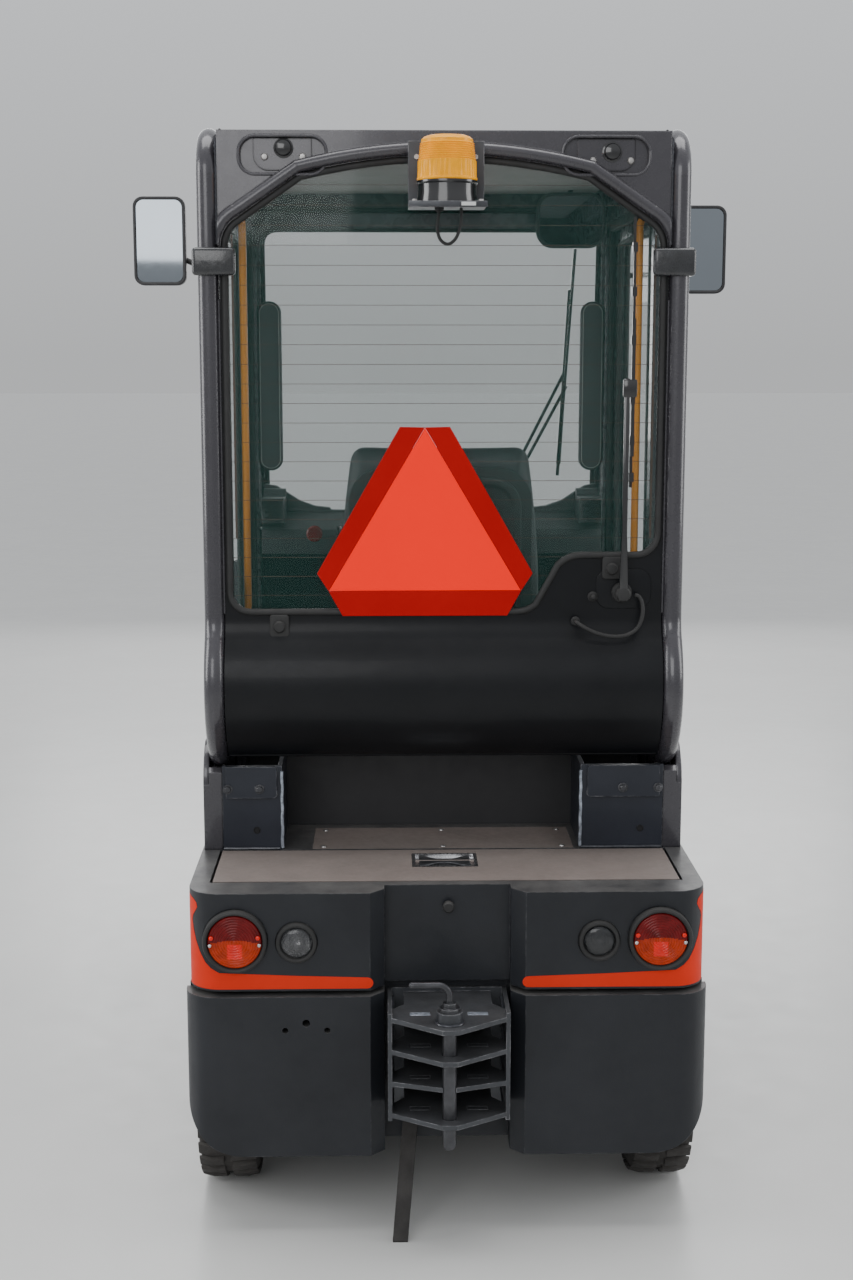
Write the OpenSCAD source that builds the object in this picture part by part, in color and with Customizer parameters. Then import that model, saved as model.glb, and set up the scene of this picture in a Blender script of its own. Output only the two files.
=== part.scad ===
// Compact three-wheel electric tow tractor with a weather cab.
// Millimetres. X runs across (right side positive), Y runs forward, Z runs up from the floor.

/* [Body] */
// Width of the lower bumper
lower_w = 978; // [940:1:1020]
// Width of the upper rear body
upper_w = 962; // [930:1:1000]
// Rear face of the lower bumper, behind the middle of the tug
bumper_back = 790; // [780:1:800]
// Height of the underside of the bumper
bumper_bottom = 152; // [140:1:170]
// Height of the top of the lower bumper
bumper_top = 465; // [450:1:480]
// Shadow gap between the lower bumper and the upper body
body_gap = 8; // [4:1:12]
// Height of the deck
deck_z = 660; // [640:1:690]
// Radius of the upright corners at the back
corner_r = 60; // [30:1:80]
// Wall of the body panels
body_wall = 6; // [4:1:10]
// Half width of the hitch recess in the bumper
recess_half = 118; // [116:1:125]
// Depth of the hitch recess
recess_depth = 84; // [70:1:90]
// Depth of the recess in the upper body
upper_recess = 52; // [44:1:54]
// Overlap of the recess chamfer, out to each side
recess_flare = 27; // [15:1:35]

/* [Deck] */
// Rear edge of the lid, behind the middle
lid_back = 702; // [690:1:715]
// Front edge of the lid, behind the middle
lid_step = 492; // [488:1:510]
// Front edge of the fixed deck plate between the cab feet, behind the middle
plate_front = 325; // [320:1:335]
// Half width of the deck plate
tongue_half = 262; // [240:1:268]
// Width of the ledge that the lid lies on
ledge_w = 12; // [8:1:18]
// Thickness of the lid
lid_t = 12; // [8:1:16]
// Running gap round the lid
lid_gap = 5; // [5:1:8]

/* [Wheels] */
// Distance between the axles
wheelbase = 1060; // [1020:1:1080]
// Rear axle behind the middle
rear_axle_back = 510; // [500:1:515]
// Tyre diameter
tyre_d = 400; // [390:1:404]
// Tyre width
tyre_w = 112; // [100:1:120]
// Seat diameter of the rim
rim_d = 204; // [190:1:220]
// Outer face of the rear tyres from the middle
tyre_out = 480; // [470:1:484]
// Radius of the axle stubs
stub_r = 22; // [16:1:28]
// Running clearance of a shaft in its bore, on the radius
run_clear = 0.05; // [0.02:0.01:0.1]
// Space between parts that seat on each other
seat_gap = 0.3; // [0.1:0.05:0.5]
// Radius of the steering king pin
king_r = 25; // [20:1:32]
// Radius of the front wheel's well
well_r = 226; // [224:1:235]

/* [Hitch] */
// Half width over the coupling cheeks
hitch_half = 112; // [105:1:115]
// Thickness of the coupling plates
hitch_t = 9; // [6:1:12]
// Height of the top coupling plate
hitch_top = 447; // [440:1:455]
// Pitch of the coupling plates
hitch_pitch = 61; // [55:1:64]
// Number of coupling plates
hitch_plates = 4; // [3:1:4]
// Length of the coupling plates' straight edge
hitch_len = 68; // [60:1:75]
// Length of the plates' pointed nose
hitch_nose = 64; // [50:1:70]
// Radius of the coupling pin
pin_r = 13; // [10:1:15]
// Radial play of the coupling pin
pin_play = 1; // [0.5:0.1:2]

/* [Cab] */
// Width of the cab
cab_w = 932; // [924:1:946]
// Height of the roof
roof_top = 2062; // [2040:1:2080]
// Outer face of the rear window behind the middle
window_back = 505; // [500:1:510]
// Radius of the tubular rear posts
post_r = 20; // [18:0.5:22]
// How far the posts stand behind the rear window
post_proud = 12; // [9:1:15]
// Radius of the posts' bend into the roof rails
post_bend = 70; // [55:1:90]
// Corner radius of the roof
roof_r = 44; // [36:1:60]
// Thickness of the cab's side frames
frame_t = 26; // [22:1:30]
// Thickness of the cab's sheet panels
sheet_t = 6; // [4:1:8]
// Thickness of the glass
glass_t = 5; // [4:1:6]
// Lower edge of the rear window
window_low = 1137; // [1120:1:1150]
// Lower edge of the rear panel
panel_low = 820; // [810:1:835]
// How far the rear panel bulges behind the window
bulge = 45; // [35:1:55]
// Windscreen header ahead of the front axle
header_ahead = 10; // [0:1:20]
// Foot of the windscreen ahead of the front axle
screen_ahead = 100; // [90:1:110]
// Height of the cowl under the windscreen
cowl_z = 1200; // [1180:1:1220]

// Front of the nose ahead of the front axle
nose_ahead = 346; // [330:1:350]

/* [Doors] */
// Rear edge of the door opening behind the middle
door_back = 160; // [150:1:170]
// Front edge of the door behind the front axle
door_setback = 45; // [40:1:50]
// Height of the lower edge of the door
door_low = 250; // [245:1:260]
// Upper edge of the door below the roof
door_drop = 112; // [107:1:132]
// Thickness of the door
door_t = 24; // [20:1:28]
// Width of the door's frame
door_rim = 44; // [38:1:55]
// Height of the rail under the door's glass
door_rail = 900; // [850:1:950]

/* [Hidden] */
$fn = 64;

// Lengths that follow from the sizes above
lower_half = lower_w / 2;
upper_half = upper_w / 2;
cab_half = cab_w / 2;
frame_in = cab_half - frame_t;
lid_half = frame_in;
upper_bottom = bumper_top + body_gap;
upper_back = bumper_back - 10;
tyre_r = tyre_d / 2;
rim_r = rim_d / 2;
rear_y = -rear_axle_back;
front_y = wheelbase - rear_axle_back;
header_front = front_y + header_ahead;
screen_front = front_y + screen_ahead;
nose_front = front_y + nose_ahead;
door_front = front_y - door_setback;
door_top = roof_top - door_drop;
wheel_x = tyre_out - tyre_w / 2;
floor_z = 200;
floor_t = 50;
sill_w = 46;
sill_z = door_low - 8;
frame_half = wheel_x - tyre_w / 2 - 38;
pocket_back = rear_axle_back + tyre_r + 14;
pocket_front = rear_axle_back - tyre_r - 12;
well_top = tyre_d + 46;
box_half = 245;
box_back = front_y - well_r - 18;
hood_half = frame_in - 40;
hood_back = pocket_front - 4;
hood_front = 60;
hood_z = 860;

nose_r = 150;
nose_rear = front_y + 10;
bumper_front_z = 340;
post_d = 2 * post_r - post_proud;
post_in = cab_half - 2 * post_r;
post_x = cab_half - post_r;
post_y = -window_back - post_proud + post_r;
post_back = window_back + post_proud;
turn_z = roof_top - post_r - post_bend;
beam_back = post_back - 4;
roof_in = roof_top - 24;
window_top = roof_top - 57;
seal_t = 12;
door_out = cab_half + 12;
hinge_x = door_out + 8;
hinge_y = -door_back - 4;
frame_back = bumper_back - recess_depth - 40;
lamp_z = deck_z - 89;
tail_x = upper_half - 88;
tail_r = 60;
small_x = tail_x - 113;
small_r = 39;
small_z = lamp_z - 4;
lamp_deep = upper_back - 50;
head_x = cab_half - 136;
head_z = 540;
head_r = 65;
deck_floor = upper_bottom + 8;
rail_z = roof_in - 46;
nose_half = cab_half;
band_out = 20;
sill_half = nose_half + band_out;
pin_hinge = 4;
hinge_r = 9;
axle_r = 52;
motor_r = 82;

// Rounded rectangle from corner to corner
module rrect(x0, y0, x1, y1, r) {
    translate([x0 + r, y0]) square([x1 - x0 - 2 * r, y1 - y0]);
    translate([x0, y0 + r]) square([x1 - x0, y1 - y0 - 2 * r]);
    for (x = [x0 + r, x1 - r], y = [y0 + r, y1 - r]) translate([x, y]) circle(r);
}

// Box between two corners
module block(a, b) {
    translate(a) cube(b - a);
}

// The part and its mirror image across the middle
module pair() {
    children();
    mirror([1, 0, 0]) children();
}

// A flat outline drawn in X and Z, spread from y0 to y1
module across(y0, y1) {
    translate([0, y1, 0]) rotate([90, 0, 0]) linear_extrude(y1 - y0) children();
}

// A flat outline drawn in Y and Z, spread from x0 to x1
module along(x0, x1) {
    translate([x0, 0, 0]) rotate([90, 0, 90]) linear_extrude(x1 - x0) children();
}

// Round bar along X, Y and Z
module bar_x(x0, x1, y, z, r) {
    translate([x0, y, z]) rotate([0, 90, 0]) cylinder(h = x1 - x0, r = r);
}
module bar_y(x, y0, y1, z, r) {
    translate([x, y0, z]) rotate([-90, 0, 0]) cylinder(h = y1 - y0, r = r);
}
module bar_z(x, y, z0, z1, r) {
    translate([x, y, z0]) cylinder(h = z1 - z0, r = r);
}

// Points on an arc about c from angle a to angle b
function arc(c, r, a, b, n) =
    [for (i = [0 : n]) c + r * [cos(a + (b - a) * i / n), sin(a + (b - a) * i / n)]];

// Outline moved inwards along its corners' middle lines; the points run anticlockwise
function inward(p, d) = [for (i = [0 : len(p) - 1])
    let (n = len(p), a = p[(i + n - 1) % n], b = p[i], c = p[(i + 1) % n],
        u = (b - a) / norm(b - a), v = (c - b) / norm(c - b), m = [-(u[1] + v[1]), u[0] + v[0]],
        k = norm(m) * norm(m) / 2)
    b + m * d / k];

// Rear window: flat sill, a step up at the right for the wiper, an arched top
window_side = 5;
window_r = post_in - window_side;
window_l = -window_r;
step_z = window_low + 110;
arch_r = 1130;
arch_edge = 62;
arch_side = window_top - 105;
window_line = concat(
    arc([window_l + 45, window_low + 45], 45, 180, 270, 6),
    arc([window_r - 279, window_low + arch_edge], arch_edge, 270, 312, 4),
    arc([window_r - 153, step_z - arch_edge], arch_edge, 132, 90, 4),
    arc([window_r - 48, step_z + 48], 48, 270, 360, 6),
    arc([window_r - arch_edge, arch_side - arch_edge], arch_edge, 0, 62, 5),
    arc([0, window_top - arch_r], arch_r, 76, 104, 12),
    arc([window_l + arch_edge, arch_side - arch_edge], arch_edge, 118, 180, 5));

// Side view of the cab's rear wall: upright beside the window, bulging below it and curving under
bulge_r = 170;
bulge_top = window_low - 5;
bulge_c = [-window_back - bulge + bulge_r, panel_low + bulge_r];
bulge_turn = 2 * atan(bulge / (bulge_top - bulge_c[1]));
hollow_r = round(100 * (bulge / (1 - cos(bulge_turn)) - bulge_r)) / 100;
hollow_c = [-window_back - hollow_r, bulge_top];
beam_low = arch_side - 64;
panel_end = 236;
post_end = 262;
function rear_line(d, top = beam_low, last = panel_end) = concat([[-window_back + d, top]],
    arc(hollow_c, hollow_r + d, 0, -bulge_turn, 8), arc(bulge_c, bulge_r - d, 180 - bulge_turn, last, 14));
function backwards(p) = [for (i = [len(p) - 1 : -1 : 0]) p[i]];

// Chassis: floor, sills, rear side frames and the box over the front wheel
module chassis() {
    color("dimgray") {
        difference() {
            union() {
                translate([0, 0, floor_z - floor_t]) linear_extrude(floor_t)
                    rrect(-sill_half, -pocket_front, sill_half, nose_rear, 12);
                pair() block([sill_half - sill_w, -pocket_front + 12, floor_z - 1],
                    [sill_half, nose_rear - 8, sill_z]);
                block([-box_half, box_back, floor_z - floor_t],
                    [box_half, front_y + well_r + 18, well_top + 16]);
                bar_z(0, front_y, well_top, well_top + 80, king_r + 22);
            }
            bar_z(0, front_y, 0, well_top, well_r);
            bar_z(0, front_y, well_top - 1, well_top + 90, king_r + run_clear);
            block([-well_r, front_y, 0], [well_r, front_y + well_r - 60, well_top]);
        }
        pair() difference() {
            block([frame_half - 30, -frame_back, floor_z], [frame_half, -pocket_front + 1, bumper_top]);
            bar_x(frame_half - 31, frame_half + 1, rear_y, tyre_r, axle_r + seat_gap);
        }
        block([-frame_half, -frame_back, bumper_top - 6], [frame_half, -pocket_front + 1, upper_bottom]);
        pair() block([frame_half, -pocket_back + 1 + seat_gap, bumper_top - 14],
            [lower_half - 6, -pocket_front + 1, upper_bottom]);
    }
}

// Outline of the bumper from behind, with its rounded lower corners
module bumper_outline() {
    r = 108;
    translate([-lower_half, bumper_bottom + r]) square([lower_w, bumper_top - bumper_bottom - r]);
    translate([-lower_half + r, bumper_bottom]) square([lower_w - 2 * r, r + 1]);
    for (s = [-1, 1]) translate([s * (lower_half - r), bumper_bottom + r]) circle(r);
}

// Plan of a rear body section with the hitch recess cut in
module rear_plan(half, back, front, depth) {
    difference() {
        union() {
            intersection() {
                rrect(-half, -back, half, -front + corner_r + 10, corner_r);
                translate([-half - 1, -back - 1]) square([2 * half + 2, back - front + 1]);
            }
            children();
        }
        polygon([[-recess_half - recess_flare, -back - 1], [recess_half + recess_flare, -back - 1],
            [recess_half, -back + recess_flare], [recess_half, -back + depth],
            [-recess_half, -back + depth], [-recess_half, -back + recess_flare]]);
    }
}

// Lower bumper: a heavy casting that reaches in to the chassis between the wheels
module rear_bumper() {
    inner = -frame_back - seat_gap;
    color([0.17, 0.17, 0.19]) difference() {
        intersection() {
            translate([0, 0, bumper_bottom]) linear_extrude(bumper_top - bumper_bottom)
                rear_plan(lower_half, bumper_back, pocket_back - 1, recess_depth)
                    translate([-frame_half, -pocket_back]) square([2 * frame_half, inner + pocket_back]);
            across(-bumper_back - 1, 0) bumper_outline();
        }
        for (h = [[-302, 400, 5.5], [-263, 414, 7], [-224, 400, 5.5]])
            bar_y(h[0], -bumper_back - 1, -bumper_back + 40, h[1], h[2]);
        pair() bar_y(60, -bumper_back, inner + 1, 300, 7);
    }
}

// Upper rear body: an open box under the deck lid
module rear_body() {
    color([0.17, 0.17, 0.19]) difference() {
        translate([0, 0, upper_bottom]) linear_extrude(deck_z - upper_bottom)
            rear_plan(upper_half, upper_back, pocket_front - 2, upper_recess);
        difference() {
            translate([0, 0, deck_floor]) linear_extrude(deck_z) difference() {
                translate([-upper_half + body_wall, -upper_back + recess_depth + body_wall])
                    square([2 * (upper_half - body_wall),
                        upper_back - recess_depth - 2 * body_wall - pocket_front + 2]);
            }
            deck_rim();
        }
        translate([0, 0, deck_z - lid_t - seat_gap]) linear_extrude(lid_t + 2) lid_plan(lid_gap);
        translate([0, 0, deck_z - lid_t]) linear_extrude(lid_t + 2) plate_plan(seat_gap);
        pair() bar_y(tail_x, -upper_back - 1, -lamp_deep + seat_gap, lamp_z, tail_r + seat_gap);
        pair() bar_y(small_x, -upper_back - 1, -lamp_deep + seat_gap, small_z, small_r + seat_gap);
    }
}

// Outline of the lid; grow widens it
module lid_plan(grow) {
    translate([-lid_half - grow, -lid_back - grow])
        square([2 * (lid_half + grow), lid_back - lid_step + 2 * grow]);
}

// Outline of the fixed deck plate; grow widens it
module plate_plan(grow) {
    translate([-tongue_half - grow, -lid_step + 2 * lid_gap - grow])
        square([2 * (tongue_half + grow), lid_step - plate_front - 2 * lid_gap + 2 * grow]);
}

// Deck rim round the lid, with the ledge that the lid lies on
module deck_rim() {
    z = deck_z - lid_t - seat_gap;
    translate([0, 0, z - 10]) linear_extrude(10 + lid_t + 1) difference() {
        translate([-upper_half, -upper_back]) square([2 * upper_half, upper_back]);
        lid_plan(-ledge_w);
    }
}

// Deck lid with its recessed handle
cup_half = 64;
cup_y = -lid_step - 24;
module deck_lid() {
    color([0.42, 0.38, 0.35]) difference() {
        translate([0, 0, deck_z - lid_t]) linear_extrude(lid_t) lid_plan(0);
        block([-cup_half, cup_y - 96, deck_z - 8], [cup_half, cup_y, deck_z + 1]);
    }
    color("silver") bar_x(-cup_half - 0.5, cup_half + 0.5, cup_y - 48, deck_z - 4, 3.5);
}

// Fixed deck plate between the cab feet
module deck_plate() {
    color([0.42, 0.38, 0.35]) translate([0, 0, deck_z - lid_t + seat_gap])
        linear_extrude(lid_t - seat_gap) plate_plan(0);
}

// Tail lamps and the small lamps beside them
module rear_lamps() {
    pair() {
        color("firebrick") bar_y(tail_x, -upper_back - 14, -lamp_deep, lamp_z, tail_r);
        color("black") bar_y(small_x, -upper_back - 8, -lamp_deep, small_z, small_r);
    }
}

// Coupling plate outline: chamfered back, straight shoulders and a pointed nose
hitch_noses = [hitch_nose, hitch_nose - 4, hitch_nose - 34, hitch_nose - 8];
module hitch_plate_plan(half, nose) {
    y0 = -bumper_back + 6;
    polygon([[-half + 22, y0], [half - 22, y0], [half, y0 - 26], [half, y0 - hitch_len],
        [14, y0 - hitch_len - nose], [-14, y0 - hitch_len - nose], [-half, y0 - hitch_len], [-half, y0 - 26]]);
}

// Ladder coupling: cheeks, back plate and nosed plates bored for the pin
hitch_y = -bumper_back - 84;
collar_up = 22;
module hitch_frame() {
    plate_bottom = hitch_top - hitch_pitch * (hitch_plates - 1) - hitch_t;
    back = -bumper_back + recess_depth - seat_gap;
    color([0.2, 0.2, 0.22]) difference() {
        union() {
            for (i = [0 : hitch_plates - 1]) translate([0, 0, hitch_top - hitch_t - i * hitch_pitch])
                linear_extrude(hitch_t) hitch_plate_plan(hitch_half - 7, hitch_noses[i]);
            pair() block([hitch_half - 8, -bumper_back - 62, plate_bottom - 6],
                [hitch_half, back, hitch_top + 8]);
            for (i = [0 : hitch_plates - 1]) translate([0, 0, -i * hitch_pitch])
                block([-hitch_half + 30, -bumper_back + 5, hitch_top - hitch_t],
                    [hitch_half - 30, back, hitch_top]);
            block([-hitch_half, back - 10, plate_bottom - 40], [hitch_half, back, hitch_top + 8]);
            bar_z(0, hitch_y, hitch_top - 1, hitch_top + collar_up, pin_r + 11);
        }
        bar_z(0, hitch_y, plate_bottom - 50, hitch_top + 50, pin_r + pin_play);
        pair() bar_y(60, back - 30, back + 10, 300, 7);
        for (i = [0 : hitch_plates - 1]) pair()
            block([34, -bumper_back - 50, hitch_top - hitch_t - 1 - i * hitch_pitch],
                [72, -bumper_back - 34, hitch_top + 1 - i * hitch_pitch]);
    }
}

// Coupling pin with its bent handle
handle_r = 6;
handle_bend = 22;
module tow_pin() {
    top = hitch_top + collar_up;
    low = hitch_top - hitch_pitch * (hitch_plates - 1) - 50;
    color("gray") {
        bar_z(0, hitch_y, low, top + 16, pin_r);
        translate([0, hitch_y, low]) sphere(pin_r);
        bar_z(0, hitch_y, top + seat_gap, top + 7, pin_r + 6);
        bar_z(0, hitch_y, top + 15, top + 26, handle_r);
        translate([-handle_bend, hitch_y, top + 26]) rotate([90, 0, 0]) rotate_extrude(angle = 90)
            translate([handle_bend, 0]) circle(handle_r);
        bar_x(-68, -handle_bend, hitch_y, top + 26 + handle_bend, handle_r);
        translate([-68, hitch_y, top + 26 + handle_bend]) sphere(handle_r);
    }
}

// Earthing strap: hangs from the coupling's back plate and rests on the floor
module static_strap() {
    y0 = -bumper_back + recess_depth - 10 - 2 * seat_gap;
    color([0.1, 0.1, 0.1]) hull() {
        translate([-80, y0 - 4, 222]) cube([28, 4, 18]);
        translate([-104, y0 - 116, 0]) cube([28, 8, 3]);
    }
}

// Cab feet on the deck, each with a screwed overlay plate
foot_t = 8;
foot_top = panel_low + 11;
overlay_h = 64;
module cab_feet() {
    y0 = -lid_step + lid_gap + 3;
    y1 = -hood_back - 10;
    x1 = frame_in - seat_gap;
    // side, inner edge of the foot, inner edge of its overlay plate
    feet = [[-1, 321, 331], [1, tongue_half + lid_gap + 7, tongue_half + 25]];
    color([0.23, 0.24, 0.27]) for (f = feet) mirror([f[0] < 0 ? 1 : 0, 0, 0]) {
        block([f[1], y0, deck_z], [x1, y0 + foot_t, foot_top]);
        block([f[1], y0 + foot_t - 1, deck_z], [f[1] + foot_t, y1, foot_top]);
        block([f[1] + 1, y0 + foot_t - 1, deck_z], [x1, y1, deck_z + foot_t]);
        difference() {
            across(y0 - foot_t, y0 + 1) rrect(f[2], foot_top - overlay_h, x1, foot_top, 7);
            block([x1 - 8, y0 - foot_t - 1, foot_top - overlay_h - 1], [x1 + 1, y0, foot_top + 1]);
        }
    }
}

// Part of a round tube bent in the side view from angle a to b: c is the bend's middle in Y and Z
module bend_side(c, bend, a, b) {
    translate([0, c[0], c[1]]) mirror([0, 0, a < 0 ? 1 : 0]) rotate([90, 0, 90]) rotate([0, 0, max(a, 0)])
        rotate_extrude(angle = b - a) translate([bend, 0]) circle(post_r);
}

// Tubular rear posts: bent back round the panel below and forward into the roof rails above
collar_z = roof_top - 276;
collar_h = 48;
weld_up = 0.3;
module rear_frame() {
    off = post_r - post_proud;
    collar_in = post_in - 30;
    color([0.2, 0.19, 0.22]) pair() {
        translate([post_x, 0, 0]) {
            bar_z(0, post_y, bulge_top, turn_z, post_r);
            bend_side([post_y + post_bend, turn_z], post_bend, 90, 180);
            bar_y(0, post_y + post_bend, header_front - 12 - seat_gap, roof_top - post_r, post_r);
            bend_side(hollow_c, hollow_r + off, -bulge_turn, 0);
            bend_side(bulge_c, bulge_r - off, 180 - bulge_turn, post_end);
            translate([0, bulge_c[0] - (bulge_r - off) * cos(bulge_turn),
                bulge_c[1] + (bulge_r - off) * sin(bulge_turn)]) sphere(post_r + weld_up);
        }
        difference() {
            block([collar_in, -post_back - 7, collar_z], [cab_half + 5, post_y + 8, collar_z + collar_h]);
            block([collar_in - 1, -window_back - 3 - 2 * seat_gap, collar_z - 1],
                [post_in + 2, post_y + 9, collar_z + collar_h + 1]);
            block([post_x, post_y, collar_z - 1], [cab_half + 6, post_y + 9, collar_z + collar_h + 1]);
        }
    }
}

// Curved rear panel with the window cut out
module rear_panel() {
    color([0.14, 0.14, 0.16]) bar_y(gland[0], -window_back - 15, -window_back + 1, gland[1], 9);
    color([0.14, 0.14, 0.16]) difference() {
        along(-post_in + seat_gap, post_in - seat_gap)
            polygon(concat(rear_line(0), backwards(rear_line(sheet_t))));
        across(-window_back - 20, -window_back + 20) polygon(window_line);
    }
}

// Rubber seal round the rear window
module window_seal() {
    color("black") across(-window_back - 3, -window_back + sheet_t + 3) difference() {
        polygon(inward(window_line, seat_gap));
        polygon(inward(window_line, seal_t));
    }
}

// Windscreen, rear window and quarter windows
module cab_glass() {
    color([0.6, 0.75, 0.7, 0.35]) {
        across(-window_back, -window_back + glass_t) polygon(inward(window_line, seal_t + seat_gap));
        screen_part(screen_edge + seat_gap, glass_t, 2);
        pair() along(cab_half - 14, cab_half - 14 + glass_t) quarter_outline(-seat_gap);
    }
}

// Quarter window between the rear post and the door post
module quarter_outline(grow) {
    y0 = -window_back + post_d + 40 - grow;
    y1 = -door_back - 56 + grow;
    rrect(y0, window_low + 60 - grow, y1, window_top - 125 + grow, 30);
}

// Plane of the windscreen, leaning back from the cowl to the header
screen_edge = 44;
screen_d = 40;
screen_foot = cowl_z + 6;
screen_top = rail_z - seat_gap;
screen_lean = atan((screen_front - header_front) / (screen_top - screen_foot));
screen_len = (screen_top - screen_foot) / cos(screen_lean);
function screen_in(z) =
    screen_front - screen_d / cos(screen_lean) - (z - screen_foot) * tan(screen_lean) - seat_gap;
module screen_hole(edge) {
    rrect(-cab_half + edge, edge - 20, cab_half - edge, screen_len - edge, 40);
}
module screen_part(edge, t, back) {
    translate([0, screen_front, screen_foot]) rotate([screen_lean, 0, 0]) translate([0, -t - back, 0])
        across(0, t) screen_hole(edge);
}

// Windscreen frame: posts and header in one pressed frame
module front_frame() {
    color([0.2, 0.19, 0.22]) translate([0, screen_front, screen_foot]) rotate([screen_lean, 0, 0])
        across(-screen_d, 0) difference() {
            translate([-cab_half, 0]) square([cab_w, screen_len - 7]);
            screen_hole(screen_edge);
        }
}

// Roof skin between the rails, the channels under them and the closing piece at the front
roof_drop = 8;
module roof() {
    web = post_in - seat_gap;
    y0 = -window_back + post_d;
    y1 = header_front - 12;
    color([0.2, 0.19, 0.22]) {
        across(y0, y1) {
            translate([-web, roof_in - 8]) square([2 * web, roof_top - roof_drop - roof_in + 8]);
            for (s = [-1, 1]) translate([s * (web - 4) - 4, rail_z]) square([8, roof_in - rail_z]);
        }
        across(post_y + post_bend, y1) for (s = [-1, 1]) translate([s * (cab_half - 22) - 22, rail_z])
            square([44, roof_top - 2 * post_r - seat_gap - rail_z]);
        across(y1, header_front) intersection() {
            rrect(-cab_half, roof_top - 400, cab_half, roof_top, roof_r);
            translate([-cab_half, rail_z]) square([cab_w, roof_r + 40]);
        }
    }
}

// Pressed beam over the rear window: a round ridge along the arch and two dished ends
ridge_r = 12;
pocket_x = post_in - 123;
module ridge_arc(c, bend, a, b) {
    translate([c[0], -beam_back, c[1]]) rotate([90, 0, 0]) rotate([0, 0, a]) rotate_extrude(angle = b - a)
        translate([bend, 0]) circle(ridge_r);
}
module roof_beam() {
    web = post_in - seat_gap;
    off = ridge_r + 1;
    side_c = [window_r - arch_edge, arch_side - arch_edge];
    top_c = [0, window_top - arch_r];
    p = side_c + (arch_edge + off) * [cos(62), sin(62)];
    q = top_c + (arch_r + off) * [cos(76), sin(76)];
    color([0.2, 0.19, 0.22]) difference() {
        union() {
            difference() {
                across(-beam_back, -window_back + post_d - seat_gap) translate([-web, beam_low + seat_gap])
                    square([2 * web, roof_top - 12 - beam_low]);
                for (s = [-1, 1]) across(-beam_back - 1, -beam_back + 9)
                    rrect(s * pocket_x - 82, roof_top - 92, s * pocket_x + 82, roof_top - 22, 30);
            }
            ridge_arc(top_c, arch_r + off, 76, 104);
            intersection() {
                pair() {
                    ridge_arc(side_c, arch_edge + off, 0, 62);
                    for (e = [p, q]) translate([e[0], -beam_back, e[1]]) sphere(ridge_r + weld_up);
                    translate([p[0], -beam_back, p[1]]) rotate([0, atan2(q[0] - p[0], q[1] - p[1]), 0])
                        cylinder(h = norm(q - p), r = ridge_r);
                }
                block([-web, -beam_back - 30, beam_low], [web, 0, roof_top]);
            }
        }
        across(-beam_back - 30, 0) polygon(window_line);
    }
}

// Beacon bracket, shelf and lamp base
beacon_x = 2;
beacon_y = -window_back - 80;
beacon_half = 71;
shelf_z = window_top - 101;
module beacon_mount() {
    face = -beam_back - ridge_r - seat_gap;
    color([0.35, 0.36, 0.38]) {
        block([beacon_x - beacon_half, face - 4, shelf_z + 7],
            [beacon_x + beacon_half, face, window_top + 24]);
        block([beacon_x - beacon_half, beacon_y - 62, shelf_z], [beacon_x + beacon_half, face, shelf_z + 7]);
        bar_z(beacon_x, beacon_y, shelf_z + 7, shelf_z + 46, 52);
    }
}

// Ribbed amber lens
module beacon_lens() {
    color([1, 0.6, 0.05]) translate([beacon_x, beacon_y, shelf_z + 46 + seat_gap]) {
        cylinder(h = 70, r1 = 55, r2 = 51);
        translate([0, 0, 70]) cylinder(h = 11, r1 = 51, r2 = 42);
    }
}

// Tube along a list of points
function ring(p, u, r, n) =
    let (a = norm(cross(u, [0, 0, 1])) > 0.3 ? cross(u, [0, 0, 1]) : cross(u, [1, 0, 0]),
        v = a / norm(a), w = cross(u, v))
    [for (i = [0 : n - 1]) p + r * (cos(360 * i / n) * v + sin(360 * i / n) * w)];
module tube(p, r, n) {
    m = len(p);
    pts = [for (i = [0 : m - 1])
        let (d = p[min(i + 1, m - 1)] - p[max(i - 1, 0)])
        each ring(p[i], d / norm(d), r, n)];
    polyhedron(pts, concat([[for (i = [0 : n - 1]) n - 1 - i]], [[for (i = [0 : n - 1]) (m - 1) * n + i]],
        [for (k = [0 : m - 2], i = [0 : n - 1])
            [k * n + i, k * n + (i + 1) % n, (k + 1) * n + (i + 1) % n, (k + 1) * n + i]]));
}

// Lead of the beacon: out of the shelf, down in a loop and back up
beacon_route = [[-12, -585, 1903.3], [-14, -585, 1886], [-16, -585, 1866], [-10, -585, 1846], [4, -586, 1838],
    [18, -587, 1848], [26, -588, 1868], [28, -588, 1886], [28, -588, 1903.3]];
module beacon_lead() {
    color("black") tube(beacon_route, 3, 8);
}

// Rear and front wipers
wiper_x = window_r - 75;
pivot_z = window_low + 43;
wiper_yoke = window_low + 438;
module wipers() {
    y = -window_back - 30;
    screen_x = 150;
    color("black") {
        bar_y(wiper_x, y - 8, -window_back - seat_gap, pivot_z, 20);
        bar_z(wiper_x, y, pivot_z + 16, wiper_yoke + 15, 5);
        block([wiper_x + 8, y + 2, wiper_yoke - 180], [wiper_x + 17, y + 16, window_top - 106]);
        block([wiper_x - 6, y - 4, wiper_yoke - 15], [wiper_x + 18, y + 6, wiper_yoke + 15]);
        translate([0, screen_front, screen_foot]) rotate([screen_lean, 0, 0]) {
            bar_y(screen_x, seat_gap, 24, 11, 10);
            translate([screen_x, 18, 11]) rotate([0, 33, 0]) cylinder(h = 330, r = 5);
            block([screen_x + 176, 6, 90], [screen_x + 184, 22, screen_len - 101]);
        }
    }
}

// Hose of the rear washer, from the gland in the panel to the wiper's pivot
gland = [256, 1125];
hose_route = [[256, -520.4, 1125], [256, -527, 1125], [268, -533, 1117], [285, -535, 1108], [309, -536, 1100],
    [335, -535, 1097], [358, -533, 1101], [376, -530, 1114], [385, -527, 1136], [385, -525, 1158],
    [379, -523, 1173], [370, -523, 1177]];
module washer_hose() {
    color("black") tube(hose_route, 4, 8);
}

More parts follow.
